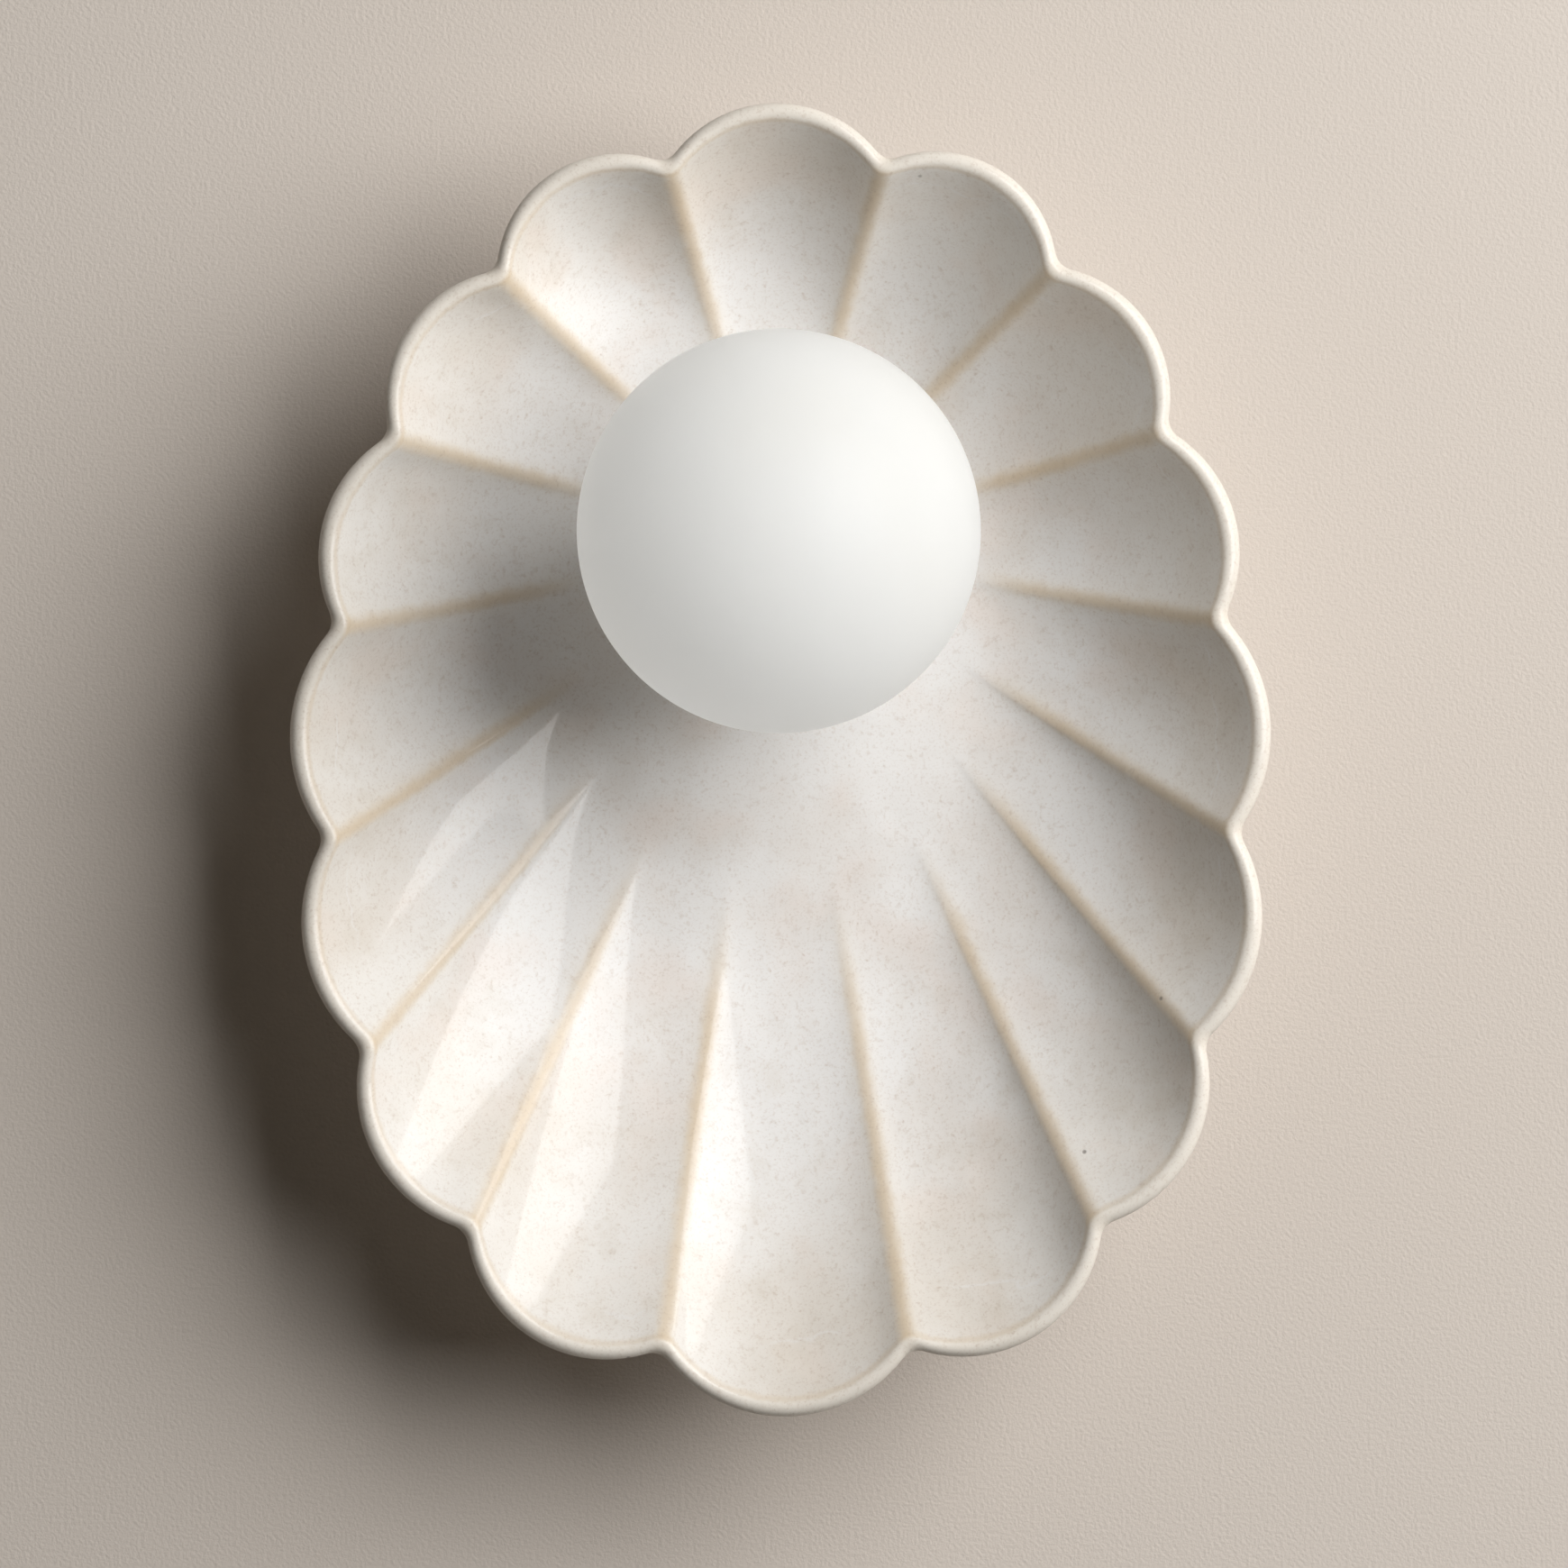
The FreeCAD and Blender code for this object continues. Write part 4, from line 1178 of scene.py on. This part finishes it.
@dataclass
class OpalGlobe:
    """The glass ball with its neck."""

    centre: float = 92.0 * MM
    radius: float = 50.0 * MM
    glass: float = 3.0 * MM
    neck: float = 21.0 * MM
    neck_end: float = 31.0 * MM
    fillet: float = 5.0 * MM
    steps: int = 72
    bend_steps: int = 12
    around: int = 192
    thread: ScrewThread = ScrewThread("globe_neck_thread", start=33.2 * MM, lead=4.0 * MM, turns=1.9,
                                      radius=20.45 * MM, ridge=0.5 * MM, sides=12, steps=96, taper=14.0)

    def side(self, ball: float, fillet: float) -> List[Tuple[float, float]]:
        """The places from the front pole to the foot of the fillet, on one face of the glass.

        Args:
            ball: The ball's radius on that face.
            fillet: The fillet's radius on that face.

        Returns:
            The (radius, depth) places.
        """
        across = self.neck + self.fillet
        depth = self.centre - math.sqrt((self.radius + self.fillet) ** 2 - across ** 2)
        meeting = math.degrees(math.atan2(depth - self.centre, across))
        ball_side = arc(0.0, self.centre, ball, 90.0, meeting, self.steps)
        ball_side[0] = (0.0, self.centre + ball)
        return ball_side + arc(across, depth, fillet, meeting + 180.0, 180.0, self.bend_steps)[1:]

    def build(self, stock: Stock) -> None:
        """Make the globe in place of the CAD one.

        Args:
            stock: The finishes.
        """
        outer = self.side(self.radius, self.fillet)
        inner = self.side(self.radius - self.glass, self.fillet + self.glass)
        half = self.glass / 2
        lip = arc(self.neck - half, self.neck_end + half, half, 0.0, -180.0, self.bend_steps)
        globe = revolved("opal_globe", outer + lip + inner[::-1], self.around, sharp_over=60.0)
        stock.hand_over(globe, "globe")
        self.thread.build(stock, "globe")


@dataclass
class ThreadedTube:
    """The brass tube that clamps the stack, cut with a fine thread from end to end.

    The thread's middle lies sunk below its root, and its ridge stands proud of the middle, as shares of its depth.
    """

    back: float = 11.7 * MM
    front: float = 35.3 * MM
    radius: float = 5.0 * MM
    bore: float = 3.5 * MM
    lead: float = 1.0 * MM
    depth: float = 0.42 * MM
    chamfer: float = 0.4 * MM
    sunk: float = 0.08
    proud: float = 1.06
    around: int = 64

    def build(self, stock: Stock) -> None:
        """Turn the tube down to the thread's root and wind the thread on it.

        Args:
            stock: The finishes.
        """
        root = self.radius - self.depth
        edge = self.chamfer / 2
        outline = [(self.bore + edge, self.back), (root - edge, self.back), (root, self.back + edge),
                   (root, self.front - edge), (root - edge, self.front), (self.bore + edge, self.front),
                   (self.bore, self.front - edge), (self.bore, self.back + edge)]
        stock.hand_over(revolved("nipple_core", outline, self.around), "threaded_nipple")
        length = self.front - self.back - 2 * self.chamfer
        ScrewThread("nipple_thread", start=self.back + self.chamfer, lead=self.lead, turns=length / self.lead,
                    radius=root - self.depth * self.sunk, ridge=self.depth * self.proud,
                    sides=3, steps=36).build(stock, "threaded_nipple")


@dataclass
class ChipPost:
    """The lamp's post with rows of small light chips round it."""

    back: float = 76.0 * MM
    front: float = 97.5 * MM
    radius: float = 2.6 * MM
    columns: int = 6
    rows: int = 8
    chip: Tuple[float, float, float] = (1.5 * MM, 1.9 * MM, 0.55 * MM)
    edge: float = 0.12 * MM

    def rule(self) -> RuleTree:
        """Make the tree that sets a chip at each place round and along the post.

        Returns:
            The tree.
        """
        rule = RuleTree("chip_rows", Int=("Columns", "Rows"), Float=("Back", "Front", "Radius"), Vector=("Chip",),
                        Material=("Finish",))
        bench, given = rule.bench, rule.inputs
        places = bench.node("GeometryNodeMeshGrid", {}, {"Vertices X": given["Rows"], "Vertices Y": given["Columns"]})
        index = bench.node("GeometryNodeInputIndex")
        row = index.maths("FLOOR", index / given["Columns"])
        turn = (index % given["Columns"]) / given["Columns"] * (2 * math.pi)
        depth = given["Back"] + (given["Front"] - given["Back"]) * row / (given["Rows"] - 1.0)
        across, height = given["Radius"] * turn.maths("COSINE", turn), given["Radius"] * turn.wave()
        place = bench.node("ShaderNodeCombineXYZ", {}, {0: across, 1: 0.0 - depth, 2: height})
        spread = bench.node("GeometryNodeSetPosition", {}, {"Geometry": places, "Position": place})
        facing = bench.node("ShaderNodeCombineXYZ", {}, {1: (math.pi / 2) - turn})
        chip = bench.node("GeometryNodeMeshCube", {}, {"Size": given["Chip"]})
        chips = bench.node("GeometryNodeInstanceOnPoints", {},
                           {"Points": spread, "Instance": chip, "Rotation": facing})
        rule.close(chips, given["Finish"])
        return rule

    def build(self, stock: Stock) -> None:
        """Set the chips on the post, with their edges rounded.

        Args:
            stock: The finishes.
        """
        chips = self.rule().run("light_chips", {**sizes_of(self), "Finish": PHOSPHOR.make()})
        round_edges(chips.data, self.edge, sharp_over=40.0)
        stock.hand_over(chips, "bulb_core")


def round_edges(mesh: bpy.types.Mesh, width: float, sharp_over: float = 30.0) -> None:
    """Weld a mesh, join its flat faces, round its sharp edges and shade it smooth.

    Args:
        mesh: The mesh.
        width: How much is taken off each edge, in metres.
        sharp_over: The angle in degrees over which an edge counts as sharp.
    """
    limit = math.radians(sharp_over)
    work = bmesh.new()
    work.from_mesh(mesh)
    bmesh.ops.remove_doubles(work, verts=work.verts, dist=WELD)
    bmesh.ops.dissolve_limit(work, angle_limit=FLAT_WITHIN, verts=work.verts, edges=work.edges, delimit={"NORMAL"})
    bmesh.ops.recalc_face_normals(work, faces=work.faces)
    sharp = [edge for edge in work.edges if len(edge.link_faces) == 2 and edge.calc_face_angle(0.0) > limit]
    bmesh.ops.bevel(work, geom=sharp, offset=width, offset_type="OFFSET", segments=2, profile=0.5,
                    affect="EDGES", clamp_overlap=True, miter_outer="ARC")
    bmesh.ops.triangulate(work, faces=[face for face in work.faces if len(face.verts) > 4])
    work.to_mesh(mesh)
    work.free()
    smoothed(mesh, sharp_over=40.0)


@dataclass(frozen=True)
class CopiedPieces:
    """A sub-assembly whose CAD pieces only need their sharp edges broken.

    Attributes:
        edges: How much is taken off each piece's edges, in millimetres.
    """

    edges: Dict[str, float]

    def build(self, stock: Stock) -> None:
        """Put a copy with rounded edges in each piece's place, shaded so that its large faces look flat.

        Args:
            stock: The finishes.
        """
        for node, width in self.edges.items():
            piece = new_piece(node + "_finished", frame["nodes"][node].data.copy())
            piece.data.materials.clear()
            round_edges(piece.data, width * MM)
            modifier = piece.modifiers.new("by_area", "WEIGHTED_NORMAL")
            modifier.keep_sharp = True
            piece.data = applied(piece, modifier)
            stock.hand_over(piece, node)


WALL_FIXING = CopiedPieces({
    "wall_bracket": 0.22, "terminal_block": 0.30, "terminal_tubes": 0.10, "terminal_screws": 0.10,
    "earth_screw": 0.12, "earth_lug": 0.10, "earth_wire": 0.10, "canopy_pan": 0.20, "canopy_screws": 0.10})
CLAMPED_STACK = CopiedPieces({
    "rear_lock_washer": 0.08, "rear_nut": 0.20, "rear_bush": 0.12, "rear_gasket": 0.25, "front_gasket": 0.25,
    "front_bush": 0.12, "globe_fitter": 0.18, "lampholder_bracket": 0.15, "front_lock_washer": 0.08,
    "front_nut": 0.20})
LAMPHOLDER = CopiedPieces({
    "lampholder_body": 0.30, "lampholder_contacts": 0.06, "lampholder_screws": 0.10, "live_wire": 0.10,
    "neutral_wire": 0.10})
LAMP_AND_SEAL = CopiedPieces({
    "bulb_base": 0.25, "bulb_pins": 0.05, "bulb_core": 0.20, "bulb_envelope": 0.15, "globe_seal": 0.10})


@dataclass(frozen=True)
class SoftLight:
    """One soft light in the studio.

    Attributes:
        name: Its name.
        place: Where it stands.
        power: Its power in watts.
        size: Its width and height.
        tint: Its colour.
        aim: What it faces.
    """

    name: str
    place: Tuple[float, float, float]
    power: float
    size: Tuple[float, float]
    tint: Tuple[float, float, float] = (1.0, 1.0, 1.0)
    aim: Tuple[float, float, float] = (0.0, 0.0, -0.05)

    def hang(self) -> None:
        """Put it in the scene, out of the camera's sight."""
        data = bpy.data.lights.new(self.name, "AREA")
        data.shape = "RECTANGLE"
        data.size, data.size_y = self.size
        data.energy = self.power
        data.color = self.tint
        lamp = bpy.data.objects.new(self.name, data)
        lamp.location = self.place
        lamp.rotation_euler = (Vector(self.aim) - Vector(self.place)).to_track_quat("-Z", "Y").to_euler()
        lamp.visible_camera = False
        COLLECTION.objects.link(lamp)


@dataclass
class Studio:
    """The wall behind the lamp, the lights and the camera."""

    wall_half: float = 2.2
    paint_tones: Tuple[Colour, Colour] = (paint(216, 207, 198), paint(212, 202, 192))
    image_side: int = 1740
    scale_at_rim: float = 4.42e3
    rim_depth: float = 67.5 * MM
    camera_distance: float = 1.8
    camera_across: float = 0.8 * MM
    camera_height: float = -62.6 * MM
    roll: float = 0.45
    sensor: float = 36.0
    lights: Tuple[SoftLight, ...] = (
        SoftLight("key", (1.27, -1.42, 0.58), 55.5, (1.6, 1.65), (1.0, 0.997, 0.99)),
        SoftLight("fill", (-1.6, -1.8, 0.3), 2.0, (1.6, 1.6), (1.0, 0.93, 0.80)),
        SoftLight("back", (0.9, 1.5, 0.8), 5.5, (1.4, 1.4), aim=(0.0, 0.0, 0.0)))
    sky: Tuple[Colour, float] = (paint(236, 220, 198), 0.012)
    seen: Tuple[Colour, float] = (paint(224, 220, 214), 1.0)
    mirrored: Tuple[Colour, float] = (paint(224, 213, 196), 0.5)

    def wall(self) -> None:
        """A painted wall, seen from the front only, that lets the light from behind through."""
        half = self.wall_half
        mesh = bpy.data.meshes.new("wall")
        mesh.from_pydata([(-half, 0, -half), (half, 0, -half), (half, 0, half), (-half, 0, half)], [], [(0, 1, 2, 3)])
        wall = new_piece("wall", mesh)
        surface = Surface("wall_paint")
        place = surface.place()
        peel = surface.cloud(place, 1000.0, 3.0, 0.55)
        surface.feed(Base_Color=surface.blend(surface.cloud(place, 3.0, 2.0), *self.paint_tones), Roughness=0.75,
                     Specular_IOR_Level=0.08, Normal=surface.bump(peel, 0.22 * MM))
        surface.mix_in(surface.node("ShaderNodeNewGeometry", output="Backfacing"),
                       surface.node("ShaderNodeBsdfTransparent"))
        mesh.materials.append(surface.material)
        wall.visible_shadow = False

    def room(self) -> None:
        """The plain room: what it lights, what the camera sees of it and what shiny things mirror."""
        world = bpy.data.worlds.new("room")
        world.use_nodes = True
        world.node_tree.nodes.clear()
        bench = Bench(world.node_tree)
        sky, seen, mirrored = (bench.node("ShaderNodeBackground", {}, {"Color": tone, "Strength": strength})
                               for tone, strength in (self.sky, self.seen, self.mirrored))
        rays = bench.node("ShaderNodeLightPath", output="Is Camera Ray")
        shown = bench.node("ShaderNodeMixShader", {}, {0: rays.also("Is Glossy Ray"), 1: sky, 2: mirrored})
        mixed = bench.node("ShaderNodeMixShader", {}, {0: rays, 1: shown, 2: seen})
        bench.give(world.node_tree.nodes.new("ShaderNodeOutputWorld").inputs["Surface"], mixed)
        bpy.context.scene.world = world
        bpy.context.scene.view_settings.view_transform = "Standard"

    def camera(self) -> None:
        """A long lens straight in front, turned as little as the photograph's was."""
        half_view = self.image_side / self.scale_at_rim / 2
        data = bpy.data.cameras.new("camera")
        data.sensor_width = self.sensor
        data.lens = self.sensor / 2 * (self.camera_distance - self.rim_depth) / half_view
        camera = bpy.data.objects.new("camera", data)
        camera.location = (self.camera_across, -self.camera_distance, self.camera_height)
        camera.rotation_euler = (math.radians(90), math.radians(self.roll), 0)
        COLLECTION.objects.link(camera)
        bpy.context.scene.camera = camera

    def build(self) -> None:
        """Set up everything round the object."""
        self.wall()
        for light in self.lights:
            light.hang()
        self.room()
        self.camera()


def main() -> None:
    """Build every sub-assembly in order, then the studio round the object."""
    logging.basicConfig(level=logging.INFO, format="%(message)s")
    stock = Stock()
    for part in (FlutedDish(), OpalGlobe(), ThreadedTube(), ChipPost(), WALL_FIXING, CLAMPED_STACK, LAMPHOLDER,
                 LAMP_AND_SEAL):
        part.build(stock)
    Studio().build()


if __name__ == "__main__":
    main()
